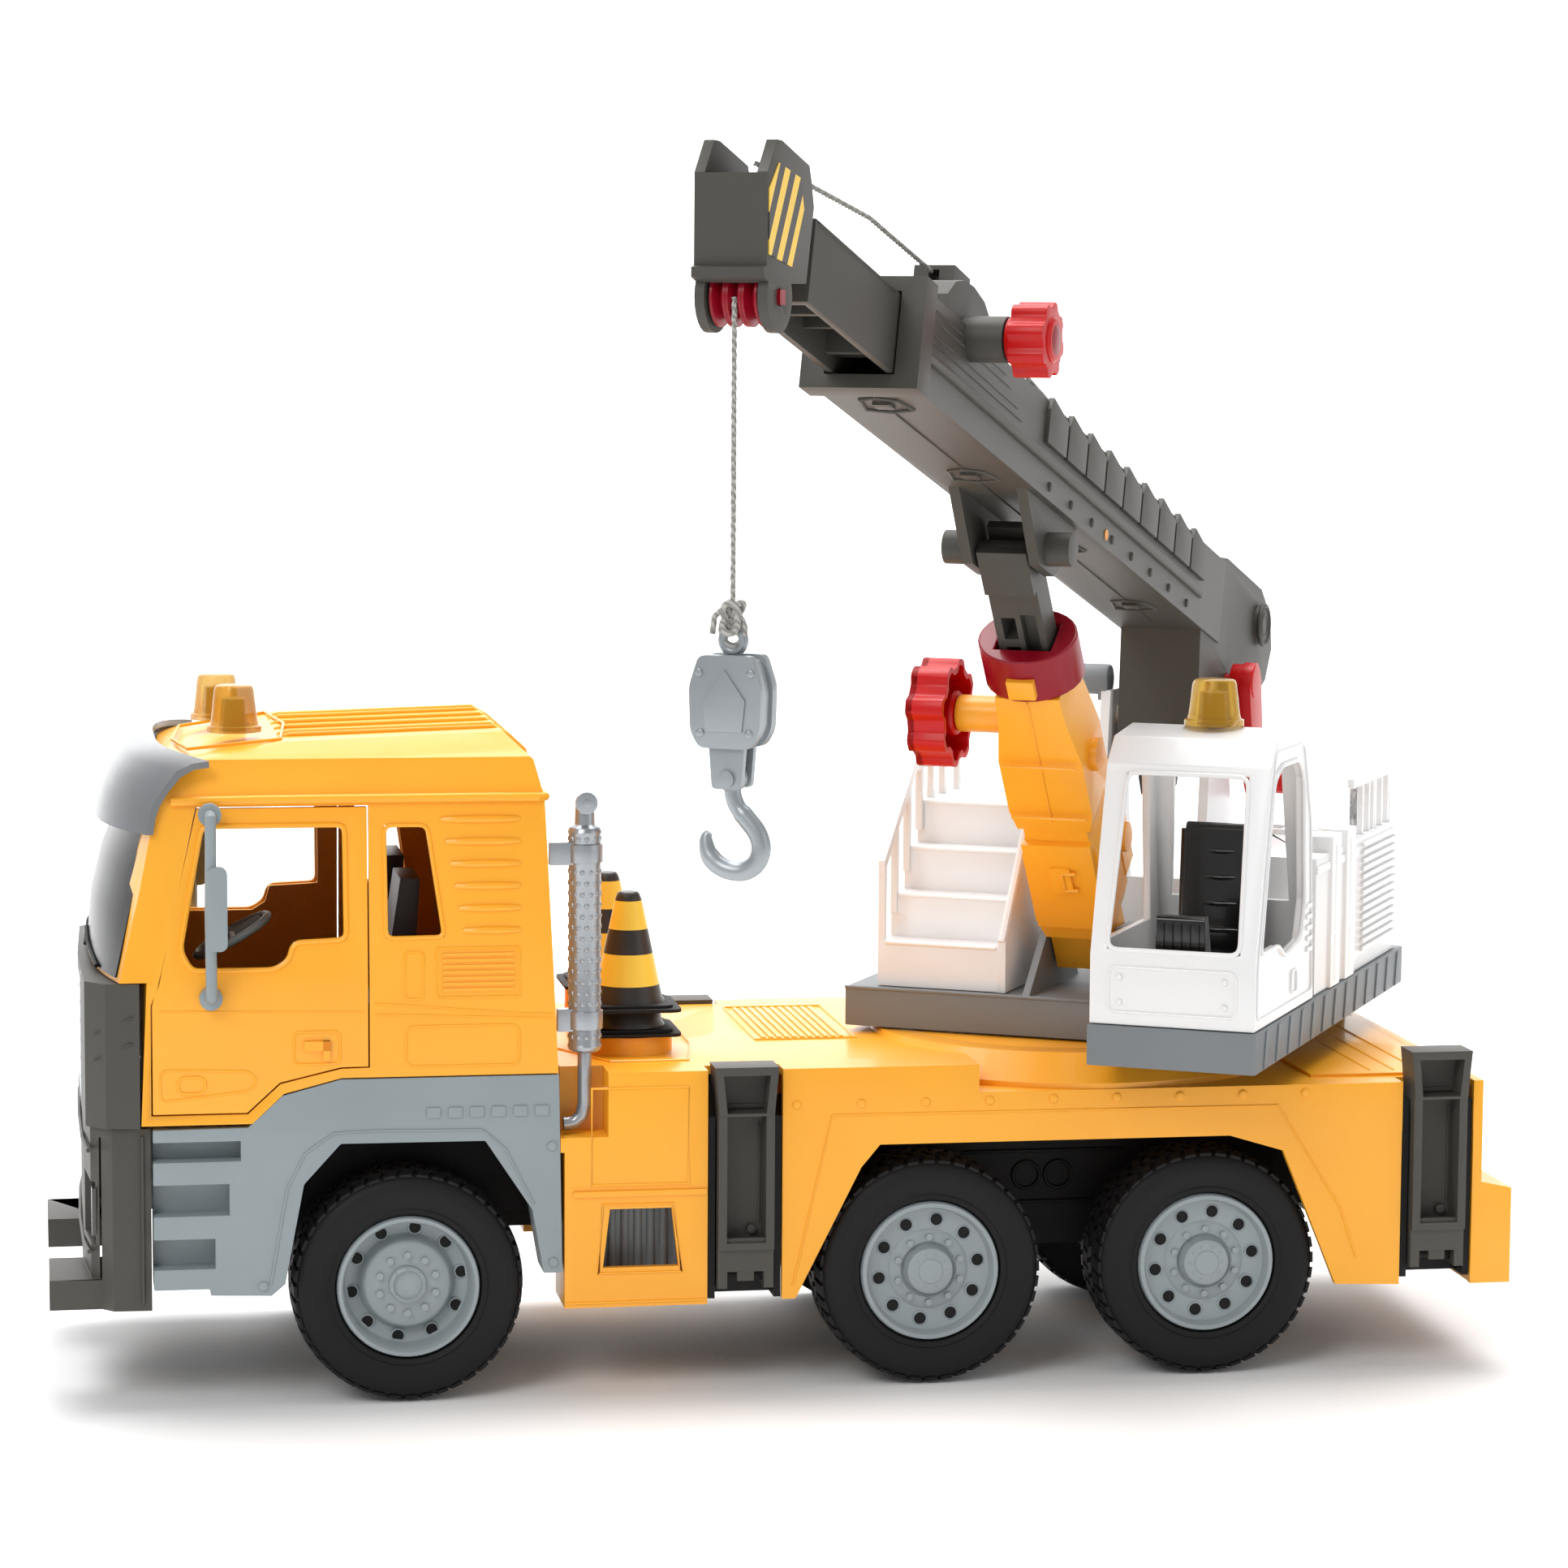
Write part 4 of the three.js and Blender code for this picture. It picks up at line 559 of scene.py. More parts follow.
# ribbed inner box and relief between the rear wheels
p = P()
for s in (-1, 1):
    p.box(-90, -45.5, s * 60 - 1, s * 60 + 1, 36, 92)
    for i in range(8): p.cyl((-83 + i * 4.6, s * 61, 0), 'z', 1.6, 38, 90, 10)
p.done("storage_ribs", "root", "grey", bevel=0.2)
p = P()
for s in (-1, 1):
    p.box(0, 178, s * 30 - 1.5, s * 30 + 1.5, 40, 87)
    y = s * 32
    for x in (84, 96): p.tube([(x + 5 * math.cos(t), y, 66 + 5 * math.sin(t)) for t in (i * math.pi / 8 for i in range(16))], 0.8, 6, closed=True)
    p.tube([(90 + 8 * math.cos(t), y, 82 + 4 * math.sin(t)) for t in (i * math.pi / 8 for i in range(16))], 0.8, 6, closed=True)
    for z in (56, 75): p.tube([(60, y, z), (120, y, z)], 0.7, 6)
    p.box(-190, -104, s * 40 - 1, s * 40 + 1, 60, 92)
p.done("chassis_side_plates", "root", "black", bevel=0.3)

# ---------- wheels ---------------------------------------------------------------------------
def wheel(ax, x, sn, s):
    m = MT @ Matrix.Translation((x, 0, 41)) @ (Matrix.Identity(4) if s < 0 else Matrix.Rotation(math.pi, 4, 'Z'))
    body = "wheels_" + ax; front = ax == "front"
    t = P(m)
    t.lathe((0, 0, 0), 'y', [(25.3, -74.5), (25.9, -76.6), (27.6, -77.3), (28.2, -76.9), (29.4, -77.2), (33, -78), (36.5, -77.7), (38.4, -76.6), (39.6, -74.8), (39.6, -51.2), (38.4, -49.4), (36.5, -48.4), (30, -48.2), (25.3, -50.5), (25.3, -74.5)], 96)
    nb = 44
    for i in range(nb):
        for j, (y0, y1) in enumerate(((-76.4, -69.8), (-69.2, -63.3), (-62.7, -56.8), (-56.2, -49.6))):
            a = (i + 0.5 * (j % 2)) * 2 * math.pi / nb; w = math.pi / nb * 0.74
            ra, rb = 39.0, 41.0
            sk = 0.02 if j % 2 else -0.02
            vs = []
            for (yy, k) in ((y0, -sk), (y1, sk)):
                e = 0.9 if (j == 0 and yy == y0) or (j == 3 and yy == y1) else 0
                for aa, q in ((a - w + k, ra), (a + w + k, ra), (a + w * .9 + k, rb - e), (a - w * .9 + k, rb - e)):
                    vs.append((q * math.cos(aa), yy, q * math.sin(aa)))
            t._new(vs, [(0, 1, 2, 3), (7, 6, 5, 4), (0, 4, 5, 1), (1, 5, 6, 2), (2, 6, 7, 3), (3, 7, 4, 0)])
    t.done(f"tyre_{ax}_{sn}_rubber", body, "tyre", bevel=0, repl=(f"tyre_{ax}_{sn}",), smooth=28)
    r = P(m)
    if front:
        r.lathe((0, 0, 0), 'y', [(25.1, -52), (25.1, -76), (24.6, -77.2), (23.4, -77.4), (22.8, -76.4), (22.4, -70), (21.6, -67.6), (17.4, -66.2), (16.2, -67.2), (15.4, -70.4), (14.4, -71.2), (6.8, -71.4), (6.4, -73.4), (5.2, -74), (4.8, -72.6), (3.6, -72.4), (0, -72.8), (0, -66), (16, -63), (21, -62), (23.6, -60), (23.6, -52), (25.1, -52)], 72)
        nuts = (10, 10.3, -71.2, 1.25); studs = (8, 5.6, -73.6, 0.55); holes = (10, 19.6, -67.1, 2.0)
    else:
        r.lathe((0, 0, 0), 'y', [(25.1, -52), (25.1, -76), (24.6, -77.2), (23.2, -77.4), (22.6, -76.2), (22.0, -73.4), (20.8, -72.8), (14.6, -72.2), (13.6, -73.2), (10.2, -73.6), (9.2, -72.6), (8.6, -74), (8.2, -76.8), (7.4, -77.4), (4.6, -77.5), (4.2, -78.0), (0, -78.2), (0, -66), (16, -66), (21, -66), (23.6, -62), (23.6, -52), (25.1, -52)], 72)
        nuts = (10, 11.9, -73.4, 1.15); studs = (10, 6.0, -77.2, 0.6); holes = (10, 18.2, -72.6, 2.1)
    for k in range(nuts[0]):
        a = 2 * math.pi * (k + .5) / nuts[0]; r.cyl((nuts[1] * math.cos(a), 0, nuts[1] * math.sin(a)), 'y', nuts[3], nuts[2] - 1.5, nuts[2] + .5, 12, nuts[3] )
    for k in range(studs[0]):
        a = 2 * math.pi * k / studs[0]; r.dome((studs[1] * math.cos(a), studs[2], studs[1] * math.sin(a)), 'y', studs[3], .5, -1, 8)
    for k in range(holes[0]):
        a = 2 * math.pi * (k + .25) / holes[0]; q = (holes[1] * math.cos(a), 0, holes[1] * math.sin(a))
        r.lathe(q, 'y', [(holes[3] + .1, holes[2] - .5), (holes[3] + .55, holes[2] - .3), (holes[3] + .75, holes[2] + .4), (holes[3] + .1, holes[2] + .4), (holes[3] + .1, holes[2] - .5)], 18)
    r.done(f"rim_{ax}_{sn}_disc", body, "rim", bevel=0, repl=(f"rim_{ax}_{sn}",), smooth=40)
    # near-black discs in the rim holes, painted shade for the hollow behind each hole
    h = P(m)
    for k in range(holes[0]):
        a = 2 * math.pi * (k + .25) / holes[0]; h.cyl((holes[1] * math.cos(a), 0, holes[1] * math.sin(a)), 'y', holes[3], holes[2] - .28, holes[2] + 1, 18)
    h.done(f"rim_{ax}_{sn}_holes", body, "hole", bevel=0)
for ax, x in (("front", -147.7), ("middle", 39), ("rear", 140.9)):
    for sn, s in (("left", -1), ("right", 1)): wheel(ax, x, sn, s)
    P().lathe((x, 0, 41), 'y', [(0, -50), (2.6, -50), (3, -49.4), (3, 49.4), (2.6, 50), (0, 50)], 24).done(f"axle_{ax}_rod", "wheels_" + ax, "cast", bevel=0, repl=(f"axle_{ax}",))

# ---------- outrigger legs ----------------------------------------------------------------------
for r_, x in (("front", -28.8), ("rear", 226)):
    for sn, s in (("left", 1), ("right", -1)):
        body = f"outrigger_{r_}_{sn}"; m = MT if s > 0 else MT @ FY
        P(m).copy_node(f"outrigger_leg_{r_}_{sn}").done(f"outrigger_{r_}_{sn}_leg", body, "dgrey", bevel=0.6, repl=(f"outrigger_leg_{r_}_{sn}",))
        p = P(m)
        p.tube([(x - 6, -73.4, 60), (x - 6, -73.4, 96)], 0.5, 6).tube([(x + 6, -73.4, 60), (x + 6, -73.4, 96)], 0.5, 6)
        p.box(x - 7.2, x + 7.2, -75, -73, 101.5, 103); p.cyl((x + 3, 0, 58), 'y', 1.6, -76, -73, 14)
        p.box(x - 3, x + 3, -81.8, -79.2, 40.6, 45.5)
        p.done(f"outrigger_{r_}_{sn}_relief", body, "dgrey", bevel=0.3)

# ---------- cones ----------------------------------------------------------------------------------
def cone(name, node, body, y, z):
    uvc = lambda co: (0.5, min(1, max(0, (co.z - z) / 42)))
    p = P().lathe((-64, y, z), 'z', [(0, 42), (3.2, 42), (3.9, 41.5), (4.4, 40.4), (5, 38.6), (12.3, 4), (13.2, 2.6), (13.2, 1.8), (11.5, 1.8), (4.8, 33.4), (0, 33.4)], 64)
    p.done(name, body, "cone", bevel=0, repl=(node,), uv=uvc)
    q = P()
    q.prism(rounded([(-81.5, y - 17.5), (-46.5, y - 17.5), (-46.5, y + 17.5), (-81.5, y + 17.5)], 4), 'z', z, z + 1.3)
    q.prism(rounded([(-79, y - 15), (-49, y - 15), (-49, y + 15), (-79, y + 15)], 5), 'z', z + 1.1, z + 2.4)
    q.done(name + "_base", body, "black", bevel=0.4)
cone("cone_near_lower_shell", "cone_near_lower", "cone_a_lower", -30, 122.8)
cone("cone_near_upper_shell", "cone_near_upper", "cone_a_upper", -30, 131.6)
cone("cone_far_shell", "cone_far", "cone_b", 30, 131.2)

# ---------- superstructure ------------------------------------------------------------------------
SP = "superstructure"
moulded("slew_platform", "plat", 0.8, m=MC)
moulded("boom_pedestal", "white", 0.7, m=MC)
P(MC).copy_node("crane_cab", True).done("crane_cab_moulding", SP, "white", bevel=0.7, seg=3, angle=20, repl=("crane_cab",), smooth=40)
moulded("stairs", "white", 0.5, m=MC)
moulded("machinery_house", "white", 0.6, m=MC)
p = P(MC)
for i in range(13): p.prism([(-90 + i * 17.6, 119), (-86.5 + i * 17.6, 119), (-83 + i * 17.6, 132), (-86.5 + i * 17.6, 132)], 'y', -86.1, -85)
for i in range(17): p.box(135.6, 136.7, -80 + i * 9.6, -77.6 + i * 9.6, 119, 132)
p.tube([(-50, 84, 132.8), (-50, -24.4, 132.8)], 0.7, 6)
p.done("platform_ribs", SP, "plat", bevel=0.3)
p = P(MC)                                         # crane cab relief
fr = lambda z: -100 if z < 158 else -100 + (z - 158) / 66 * 18
p.tube([(fr(z) - .1, y, z) for y, z in rounded([(-79, 160), (-31, 160), (-33, 221), (-77, 221)], 4)], 0.9, 8, closed=True)
p.tube([(-100.2, y, z) for y, z in rr(-78, -32, 138, 154, 2.5)], 0.5, 6, closed=True)
for y, z in ((-74, 141.5), (-36, 141.5), (-74, 150.5), (-36, 150.5)): p.dome((-100.2, y, z), 'x', 1.1, 0.8, -1, 12)
p.tube([(x, -85, z) for x, z in rounded([(-94, 160), (-78.5, 219), (-68, 224), (-42, 224), (-34.5, 217), (-30, 172), (-36, 158), (-60, 155), (-68, 160)], 4)], 0.9, 8, closed=True)
p.tube([(x, -85, z) for x, z in rounded([(-97, 137), (-97, 156), (-76, 229), (-34, 229), (-22, 200), (-17, 137)], 4)], 0.5, 6, closed=True)
p.tube([(x, -85, z) for x, z in rr(-48, -40, 140, 148, 1.5)], 0.5, 6, closed=True)
for i in range(5): p.box(-27.5 + i * .4, -19.5 + i * .3, -85.6, -84.6, 168 - i * 4, 169.6 - i * 4)
p.done("crane_cab_relief", SP, "white", bevel=0.25)
p = P(MC)                                         # driver's seat, floor pan and console
p.prism(rounded([(-60, 140), (-61, 150), (-36, 152), (-30, 150), (-30, 140)], 3), 'y', -69.5, -40.5)
p.prism(rounded([(-38, 150), (-34.6, 199), (-27.6, 198), (-24.5, 150), (-30, 146)], 3), 'y', -68.5, -41.5)
p.box(-95, -27, -72, -38, 136.5, 139.5); p.box(-58, -34, -63, -47, 139, 142)
p.prism(rounded([(-93, 139), (-93, 157), (-84, 158), (-71, 154), (-70, 139)], 2), 'y', -73.5, -36.5)
p.prism(rounded([(-90, 156), (-90, 171), (-86, 172), (-81, 158)], 1.5), 'y', -64, -46)
p.done("crane_seat", SP, "gloss", bevel=1.0, seg=3, repl=("crane_interior",))
p = P(MC)
for i in range(4): p.tube([(-35.9 + i * .8, -65, 160 + i * 9.5), (-37.3 + i * .75, -55, 160 + i * 9.5), (-35.9 + i * .8, -45, 160 + i * 9.5)], 1.1, 10)
for y in (-69, -41): p.tube([(-34, y, 153), (-33, y, 175), (-31.5, y, 196)], 1.9, 10)
for i in range(5): p.box(-90.9, -89.6, -62 + i * 3.2, -60.4 + i * 3.2, 159, 169)
p.done("crane_seat_piping", SP, "gloss", bevel=0.3)
p = P(MC)                                         # machinery relief
for i in range(14): p.box(66, 124, -85.2, -83.9, 140 + i * 3.1, 141.6 + i * 3.1)
for i in range(10): p.box(127.6, 128.8, -80, -34, 142 + i * 4, 144 + i * 4)
for x in (20, 44):
    p.lathe((x, -76.2, 0), 'z', [(0, 134), (8.6, 134), (9.3, 136), (9.3, 152), (8.6, 153.2), (9.3, 154.4), (9.3, 186), (8.2, 189.4), (0, 190.6)], 40)
for i in range(6): p.box(64 + i * 11, 66.4 + i * 11, -82, -79.4, 184, 204)
p.box(-8, 60, -84.6, -83.8, 178, 181)
p.done("machinery_relief", SP, "white", bevel=0.3)
p = P(MC)                                         # stairs relief: nosings and parapet cap
for i in range(4): p.tube([(-45 + 15 * i, 27, 149.6 + 16 * i), (-45 + 15 * i, 70, 149.6 + 16 * i)], 0.8, 8)
p.tube([(-46, 24.5, 152), (-12, 24.5, 200), (46, 24.5, 200)], 1.6, 8)
p.done("stairs_relief", SP, "white", bevel=0)
P(MC).lathe((78, 0, 240), 'y', [(0, 20), (5.6, 20), (6, 21), (6, 44), (5.6, 45), (0, 45)], 32).box(74, 82, 20, 24, 232, 242).done("pedestal_drum", SP, "plat", bevel=0.3)

# ---------- boom -----------------------------------------------------------------------------------
moulded("outer_boom", "dgrey", 0.6, m=MB)
moulded("inner_boom", "dgrey", 0.5, m=MB)
moulded("boom_head", "dgrey", 0.5, m=MC)
p = P(MB)
for s in (-1, 1):
    for i in range(9):
        x = -244 + i * 24.6
        p.prism([(x, 49), (x, 60.8), (x + 3, 65.4), (x + 22.6, 61.4), (x + 22.6, 49)], 'y', s * 16.4, s * 18.5)
    p.tube([(-378, s * 16.8, 44), (-374, s * 17.2, 44), (-28, s * 17.2, 44), (-24, s * 16.8, 44)], 2.0, 12)
    for i in range(8): p.dome((-44 - i * 27, s * 17, 36), 'y', 1.7, 1.0, s)
    for z in (49.5, 52.5, 57, 60): p.tube([(-375, s * 17, z), (-292 + (60 - z) * 2, s * 17, z)], 0.5, 6)
    p.tube([(73 + 8 * math.cos(t), s * 18.4, 52 + 8 * math.sin(t)) for t in (i * math.pi / 12 for i in range(24))], 1.0, 8, closed=True)
    p.tube([(73 + 4.6 * math.cos(t), s * 18.4, 52 + 4.6 * math.sin(t)) for t in (i * math.pi / 12 for i in range(24))], .6, 8, closed=True)
for u in (362, 268, 160, 60):                     # latches moulded in the underside
    p.tube([(-u + a, b, 31.4) for a, b in ((-6, -6), (6, -8), (9, 0), (6, 8), (-6, 6), (-9, 0))], 0.8, 6, closed=True)
    p.box(-u - 3, -u + 3, -3, 3, 30.4, 32)
p.tube([(-374, 0, 31.3), (-30, 0, 31.3)], 0.3, 6)
p.prism([(-10, 20), (14, 20), (6, -26), (-2, -32), (-8, -26)], 'y', -6, 6)
p.done("outer_boom_relief", "boom", "dgrey", bevel=0.35)
P(MB).lathe((-160, -17.0, 36), 'y', [(0, -.35), (2, -.35), (2, .4), (0, .4)], 24).done("boom_marker_dot", "boom", "orange_dark", bevel=0)
p = P(MB)
for i in range(3): p.prism([(-452 + i * 34, 41), (-450.4 + i * 34, 41), (-450.4 + i * 34, 57), (-452 + i * 34, 57)], 'y', -9, 9)
p.tube([(-466, -11, 59.8), (-392, -11, 59.8)], 0.5, 6)
p.done("inner_boom_ribs", "telescope", "dgrey", bevel=0.2)
# hazard panels on both sides of the head
def hz(co): return ((co.x * 0.85 - co.z * 0.53) / 8.2, 0.5)
for s, nm in ((-1, "left"), (1, "right")):
    P(MC).prism([(-390.6, 398.2), (-390.6, 416.8), (-382.6, 424.4), (-364.6, 420.6), (-361.6, 411.6), (-371.6, 394.8)], 'y', s * 11.1, s * 11.5).done(f"hazard_panel_{nm}", "telescope", "hazard", bevel=0, uv=hz)
p = P(MC)
p.box(-383.2, -378.8, -12.2, 12.2, 383.8, 388.2)
for y in (-4.9, 0, 4.9):
    p.lathe((-381, y, 386), 'y', [(0, -2.4), (8.7, -2.4), (8.7, -1.6), (6, 0), (8.7, 1.6), (8.7, 2.4), (0, 2.4)], 48)
o = p.done("head_sheaves", "sheaves", "crimson", bevel=0, repl=("head_pulleys",))
def knob(name, node, body, m, c, r, y0, y1, n=8):
    p = P(m)
    K2 = 96; out = []
    for i in range(K2):
        t = 2 * math.pi * i / K2; q = r * (0.93 + 0.07 * math.tanh(2.4 * math.cos(n * t)))
        out.append((c[0] + q * math.cos(t), c[1] + q * math.sin(t)))
    p.prism(out, 'y', y0, y1)
    return p
k = knob("extension_knob_cap", None, None, MB, (-332, 61), 12.4, -44.5, -32.5)
k.lathe((-332, 0, 61), 'y', [(0, -45.6), (6.4, -45.6), (7.4, -44.8), (7.4, -33), (7, -30), (0, -30)], 40)
k.done("extension_knob_cap", "extension_drive", "red", bevel=0.5, repl=("extension_knob",))
P(MB).lathe((-332, 0, 61), 'y', [(0, -46), (3.6, -45.9), (5.4, -45.5), (5.4, -45), (0, -45)], 32).done("extension_knob_centre", "extension_drive", "crimson", bevel=0)
p = P(MB)                                          # winch crank
p.lathe((29, 0, 20), 'y', [(0, -28.6), (6.4, -28.6), (7, -27.6), (7, -19), (0, -19)], 36).lathe((29, 0, 20), 'y', [(0, -24), (3, -24), (3, 12), (0, 12)], 20)
p.prism(rounded([(22, 24), (30, 29), (38, 25), (52, -6), (56, -17), (49, -24), (41, -18), (22, 15)], 5), 'y', -28, -23.2)
p.lathe((49, 0, -16), 'y', [(0, -46), (4.2, -46), (5, -44.6), (5, -32), (4.2, -25), (4.2, -23.4), (0, -23.4)], 32)
p.lathe((29, 0, 20), 'y', [(6, -12), (8.5, -12), (8.5, -10.4), (6, -10), (6, 10), (8.5, 10.4), (8.5, 12), (6, 12), (6, -12)], 32)
p.done("winch_crank_arm", "winch", "red", bevel=0.6, repl=("winch_crank",))

# ---------- jack ----------------------------------------------------------------------------------------
moulded("jack_body", "orange", 0.7, m=MJ)
p = P(MJ)
ov = [(15.6 * math.cos(t), 18.2 * math.sin(t)) for t in (i * math.pi / 32 for i in range(64))]
inn = rounded([(-8, -10.5), (8, -10.5), (8, 10.5), (-8, 10.5)], 2, 15)
a0 = len(inn)
p.copy_node("jack_collar")
p.done("jack_collar_ring", "jack", "crimson", bevel=1.0, seg=3, repl=("jack_collar",), smooth=50)
moulded("jack_rod", "dgrey", 0.4, m=MJ)
p = P(MJ)
p.box(-17.2, -14, -5, 5, 130.5, 138.5)
p.done("collar_tab", "jack", "orange", bevel=0.5)
p = P(MJ)
p.tube([(-13.2, 2, 22), (-13.2, 2, 60)], 0.4, 6); p.tube([(-13.2, 0, 70), (-13.2, 0, 126)], 0.35, 6)
p.prism(rounded([(-4, 38), (4, 38), (4, 50), (-4, 50)], 1.5), 'x', -16.4, -14.4)
p.tube([(-16.4, -6, 48), (-16.4, -1, 48), (-16.4, -1, 40), (-16.4, -6, 40)], 0.8, 8)
for y, z, r_ in ((-14.6, 92, 6), (-14.6, 42, 5.5)):
    p.cyl((0 if z > 60 else 12, 0, z), 'y', r_, y - 3.6, y, 28)
for z in (76, 24): p.dome((-4, -13.4, z), 'y', 2.2, 1.2)
p.tube([(-15.8, -14, 74), (-15.8, 14, 74)], .6, 6); p.tube([(-15.8, -14, 98), (-15.8, 14, 98)], .6, 6)
p.lathe((0, 0, 109), 'y', [(0, 12), (6.7, 12), (6.7, 30.6), (6, 31.6), (0, 31.6)], 36)
p.done("jack_relief", "jack", "orange", bevel=0.25)
p = knob("w", None, None, MJ, (0, 109), 19.6, 43, 46)
for i in range(96):
    pass
K2 = 96
ro = [19.6 * (0.93 + 0.07 * math.tanh(2.4 * math.cos(8 * 2 * math.pi * i / K2))) for i in range(K2)]
ri = [q - 2.4 for q in ro]
vs = []
for y, rad in ((32, ro), (46, ro), (46, ri), (32, ri)):
    vs.append([p.bm.verts.new((rad[i] * math.cos(2 * math.pi * i / K2), y, 109 + rad[i] * math.sin(2 * math.pi * i / K2))) for i in range(K2)])
for a, b in ((0, 1), (1, 2), (2, 3), (3, 0)):
    for i in range(K2): p.bm.faces.new((vs[a][i], vs[a][(i + 1) % K2], vs[b][(i + 1) % K2], vs[b][i]))
p.lathe((0, 0, 109), 'y', [(0, 32), (7.6, 32), (8.2, 33), (8.2, 44), (0, 44)], 36)
p.done("jack_handwheel_lobed", "jack_wheel", "red", bevel=0.5, repl=("jack_handwheel",))

# ---------- line, block and hook ---------------------------------------------------------------------------
def line(name, node, body, pts, m, strands=3):
    p = P(m); pts = [Vector(q) for q in pts]
    L = 0; path = []
    for a, b in zip(pts, pts[1:]):
        n = max(2, int((b - a).length / 1.1))
        for i in range(n): path.append((a.lerp(b, i / n)))
    path.append(pts[-1])
    d = (pts[-1] - pts[0]).normalized(); u = Vector((0, 1, 0)) if abs(d.y) < .9 else Vector((1, 0, 0)); v = d.cross(u)
    for k in range(strands):
        q = [c_ + (u * math.cos(i * 0.75 + k * 2 * math.pi / strands) + v * math.sin(i * 0.75 + k * 2 * math.pi / strands)) * 0.42 for i, c_ in enumerate(path)]
        p.tube(q, 0.46, 6)
    return p
p = line("f", None, None, [(-329, 0, 84.6), (-392, 0, 83.4), (-450, 0, 76.6), (-474, 0, 73), (-493, 0, 69.3)], MB)
o = p.done("line_front", "telescope", "cord", bevel=0, repl=("string_front",))
a_ = MB @ Vector((-493, 0, 69.3)); ax_ = (MB @ Vector((1, 0, 0)) - MB @ Vector((0, 0, 0))).normalized()
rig.squash(o, "telescope_slide", axis=tuple(ax_), anchor=tuple(a_), keep=0.54)
line("r", None, None, [(-306, 0, 80.2), (-219, 0, 79), (-114, 0, 73), (36, 0, 71.3)], MB).done("line_rear", "boom", "cord", bevel=0, repl=("string_rear",))
o = line("h", None, None, [(-388.2, 0, 292), (-388.2, 0, 340), (-388.2, 0, 386)], MC).done("line_hanging", "line", "cord", bevel=0, repl=("string_hanging",))
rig.squash(o, "hoist", axis=(0, 0, 1), anchor=tuple(MC @ Vector((-388.2, 0, 386))), keep=0.36)
p = P(MC)
kn = [(-388 + 3.0 * math.cos(t) * (1 - .1 * math.sin(3 * t)), 2.8 * math.sin(2 * t) * .8, 293.5 + 4.4 * math.sin(t * 1.5)) for t in (i * 4 * math.pi / 60 for i in range(61))]
p.tube(kn, 1.0, 8)
p.tube([(-388, 3.6 * math.sin(t), 290 + 4.6 * math.cos(t)) for t in (i * math.pi / 12 for i in range(24))], 1.0, 8, closed=True)
p.tube([(-388, 2, 297), (-390, 5, 294), (-389, 6, 289)], 0.9, 8)
p.done("line_knot", "hoist_block", "cord", bevel=0)
p = P(MC)
H = -387.7
p.prism(rounded([(-8, 256), (-10.8, 261), (-11.2, 274), (-8.2, 283), (8.2, 283), (11.2, 274), (10.8, 261), (8, 256)], 2), 'x', H - 6.9, H - 3)
p.prism(rounded([(-8, 256), (-10.8, 261), (-11.2, 274), (-8.2, 283), (8.2, 283), (11.2, 274), (10.8, 261), (8, 256)], 2), 'x', H + 3, H + 6.9)
p.prism(rounded([(-7.6, 257.5), (-10, 262), (-10.4, 273), (-8, 281.6), (8, 281.6), (10.4, 273), (10, 262), (7.6, 257.5)], 2), 'x', H - 3.4, H + 3.4)
p.prism([(-5.5, 261), (-6.5, 270), (0, 279), (6.5, 270), (5.5, 261)], 'x', H - 7.6, H - 6.6)
for y, z in ((-8, 278), (8, 278), (-7.5, 260.5), (7.5, 260.5)): p.dome((H - 6.9, y, z), 'x', 1.3, .7, -1, 12)
p.tube([(H, 3.2 * math.sin(t), 287 + 3.4 * math.cos(t)) for t in (i * math.pi / 12 for i in range(24))], 1.5, 10, closed=True)
p.prism(rounded([(-4.6, 244), (4.6, 244), (5.6, 257.5), (-5.6, 257.5)], 1.5), 'x', H - 5.2, H - 2.8)
p.prism(rounded([(-4.6, 244), (4.6, 244), (5.6, 257.5), (-5.6, 257.5)], 1.5), 'x', H + 2.8, H + 5.2)
p.cyl((0, 0, 247), 'x', 2.6, H - 6.4, H + 6.4, 24)
p.done("hook_block_cast", "hoist_block", "cast", bevel=0.5, repl=("hook_block",))
p = P(MC)
hk = [(0, 251), (0, 246), (-.2, 242), (-1.6, 238.4), (-4.6, 235), (-7.8, 231), (-9, 226.6), (-7.6, 222.4), (-4, 219.9), (.4, 219.7), (4.6, 221.4), (7.4, 224.6), (8.2, 228.6), (7.4, 230.6)]
hs = []
for i in range(len(hk) - 1):
    for j in range(4):
        t = j / 4; P0, P1, P2, P3 = [Vector(hk[max(0, min(len(hk) - 1, i + k))]) for k in (-1, 0, 1, 2)]
        hs.append(0.5 * ((2 * P1) + (P2 - P0) * t + (2 * P0 - 5 * P1 + 4 * P2 - P3) * t * t + (3 * P1 - P0 - 3 * P2 + P3) * t ** 3))
hs.append(Vector(hk[-1]))
n_ = len(hs)
p.tube([(H, -q.x * -1, q.y) for q in hs], 2.4, 16, rad=[2.5 if i < n_ * .25 else 2.9 - 0.2 * abs(i / n_ - .6) if i < n_ * .8 else 2.9 - 2.2 * (i / n_ - .8) / .2 * .85 for i in range(n_)])
p.lathe((H, 0, 247), 'x', [(0, -2.4), (4.0, -2.4), (4.0, 2.4), (0, 2.4)], 28)
p.done("hook_cast", "hook_swing", "cast", bevel=0, repl=("hook",))

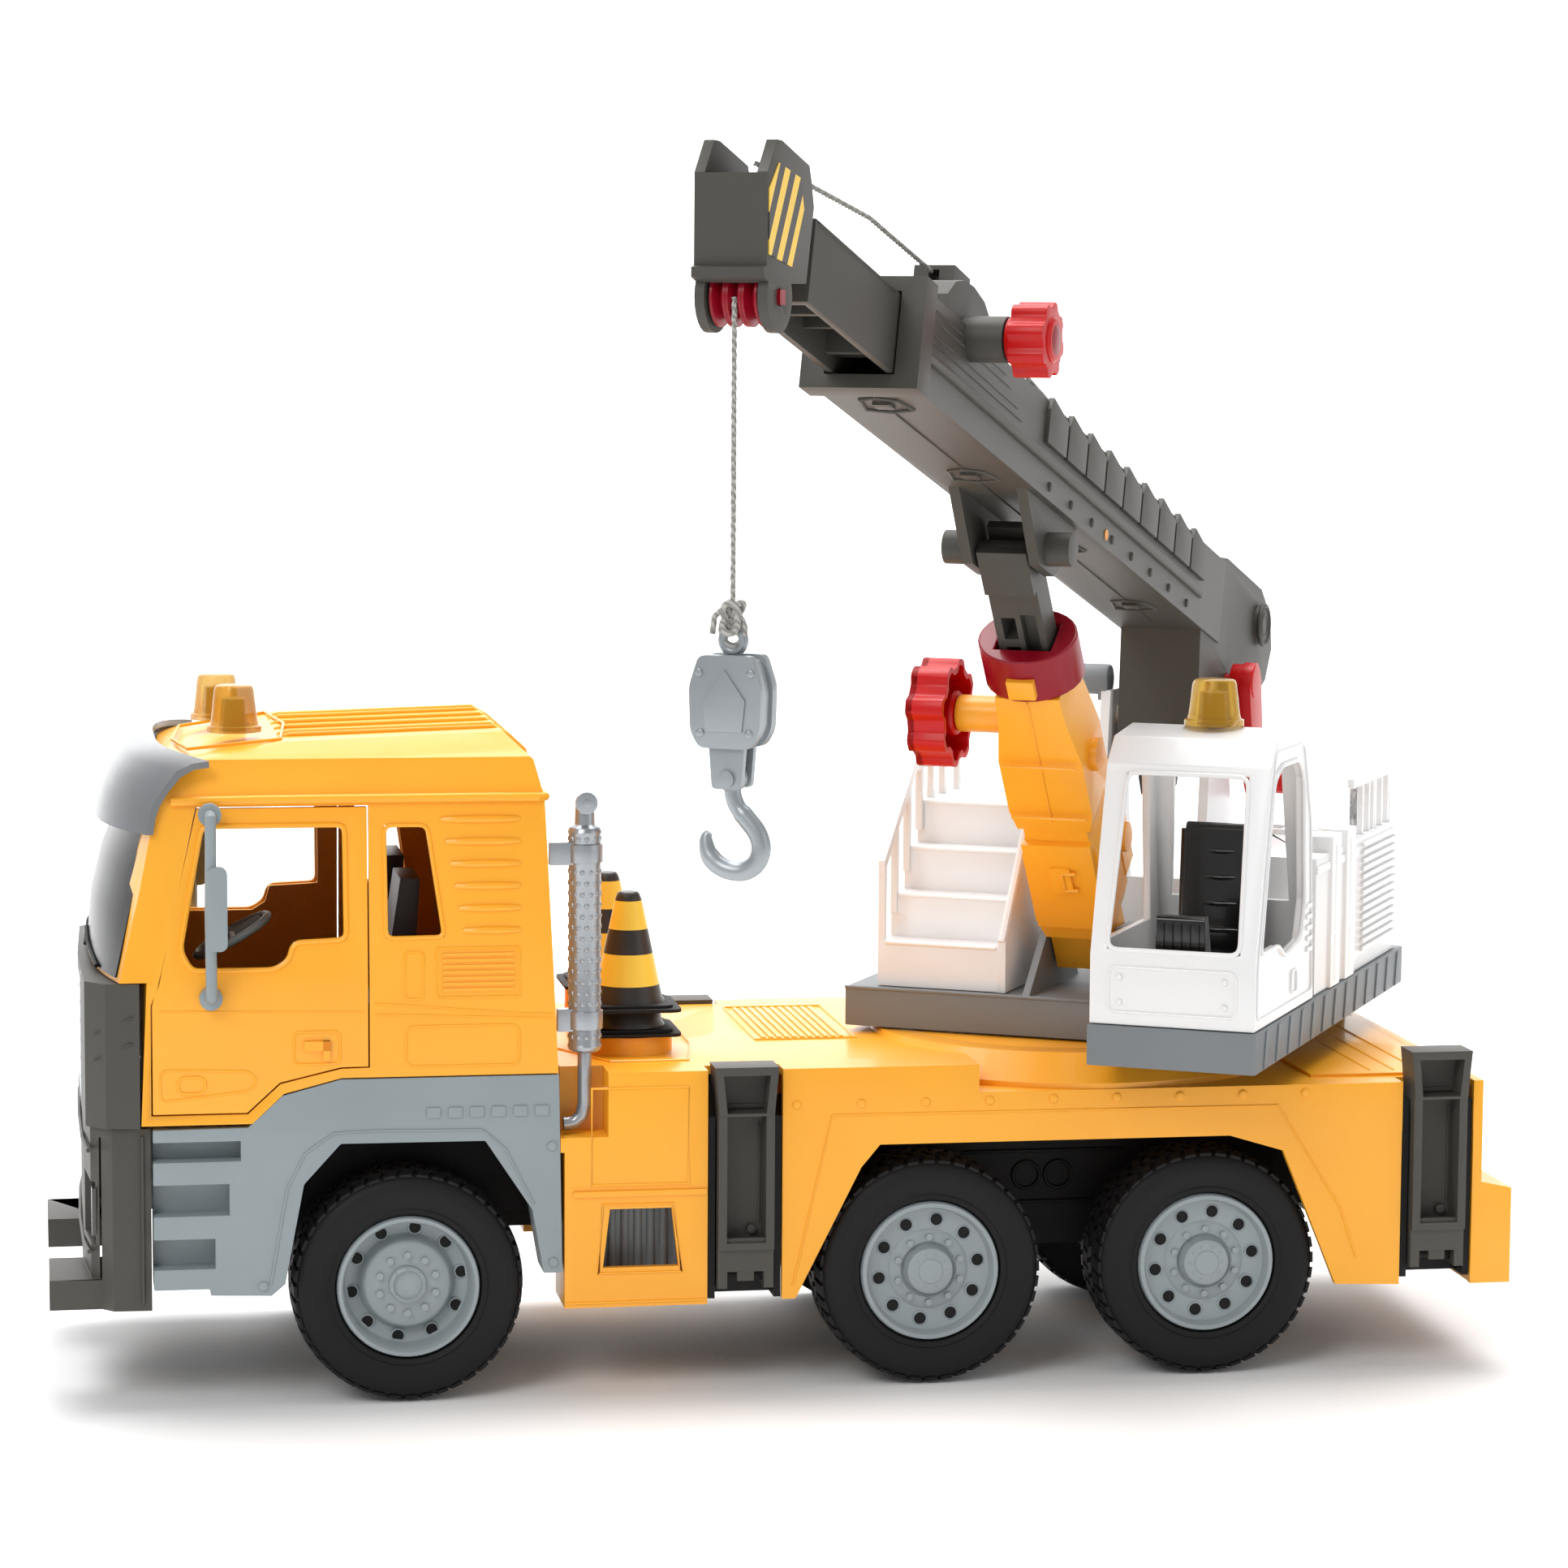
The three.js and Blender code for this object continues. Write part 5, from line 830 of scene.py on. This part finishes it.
# ---------- floor, light --------------------------------------------------------------------------------------
def floor():
    """A pale table that sweeps up behind the truck without a visible edge."""
    prof = [(-8.0, 0.0), (0.9, 0.0)] + [(0.9 + 2.4 * math.sin(t), 2.4 - 2.4 * math.cos(t)) for t in (i * math.pi / 32 for i in range(1, 17))] + [(3.3, 7.0)]
    bm = bmesh.new()
    rows = [[bm.verts.new((x, y, z)) for y, z in prof] for x in (-9, 9)]
    for i in range(len(prof) - 1): bm.faces.new((rows[0][i], rows[1][i], rows[1][i + 1], rows[0][i + 1]))
    bmesh.ops.recalc_face_normals(bm, faces=bm.faces)
    me = bpy.data.meshes.new("floor"); bm.to_mesh(me); bm.free(); me.shade_smooth()
    o = bpy.data.objects.new("floor", me); bpy.context.scene.collection.objects.link(o)
    o.location = (0, 0, -0.0004)
    mt, nt, b = base("floor")
    b.inputs["Base Color"].default_value = (0.94, 0.94, 0.94, 1); b.inputs["Roughness"].default_value = 0.95
    b.inputs["Specular IOR Level"].default_value = 0.1
    me.materials.append(mt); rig.stage(o)
floor()
def area(name, loc, target, size, power):
    l = bpy.data.lights.new(name, 'AREA'); l.size = size; l.energy = power
    o = bpy.data.objects.new(name, l); o.location = loc
    o.rotation_euler = (Vector(target) - Vector(loc)).to_track_quat('-Z', 'Y').to_euler()
    bpy.context.scene.collection.objects.link(o)
area("key", (-1.4, -1.8, 1.9), (0, 0, 0.2), 1.2, 25)
area("fill", (1.9, -1.3, 0.9), (0, 0, 0.2), 1.4, 5)
area("top", (0.1, 0.3, 2.2), (0, 0, 0.1), 1.6, 13)
area("sweep", (0, 1.2, 3.0), (0, 3.2, 0.8), 3.0, 150)
w = bpy.data.worlds.new("world"); bpy.context.scene.world = w; w.use_nodes = True
w.node_tree.nodes["Background"].inputs[0].default_value = (1, 1, 1, 1)
w.node_tree.nodes["Background"].inputs[1].default_value = 0.46
bpy.context.scene.view_settings.view_transform = 'Standard'

json.dump({"cad": [list(map(float, v)) for v in cad_box], "visual": [list(map(float, v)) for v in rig.bounds()]}, open("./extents.json", "w"))
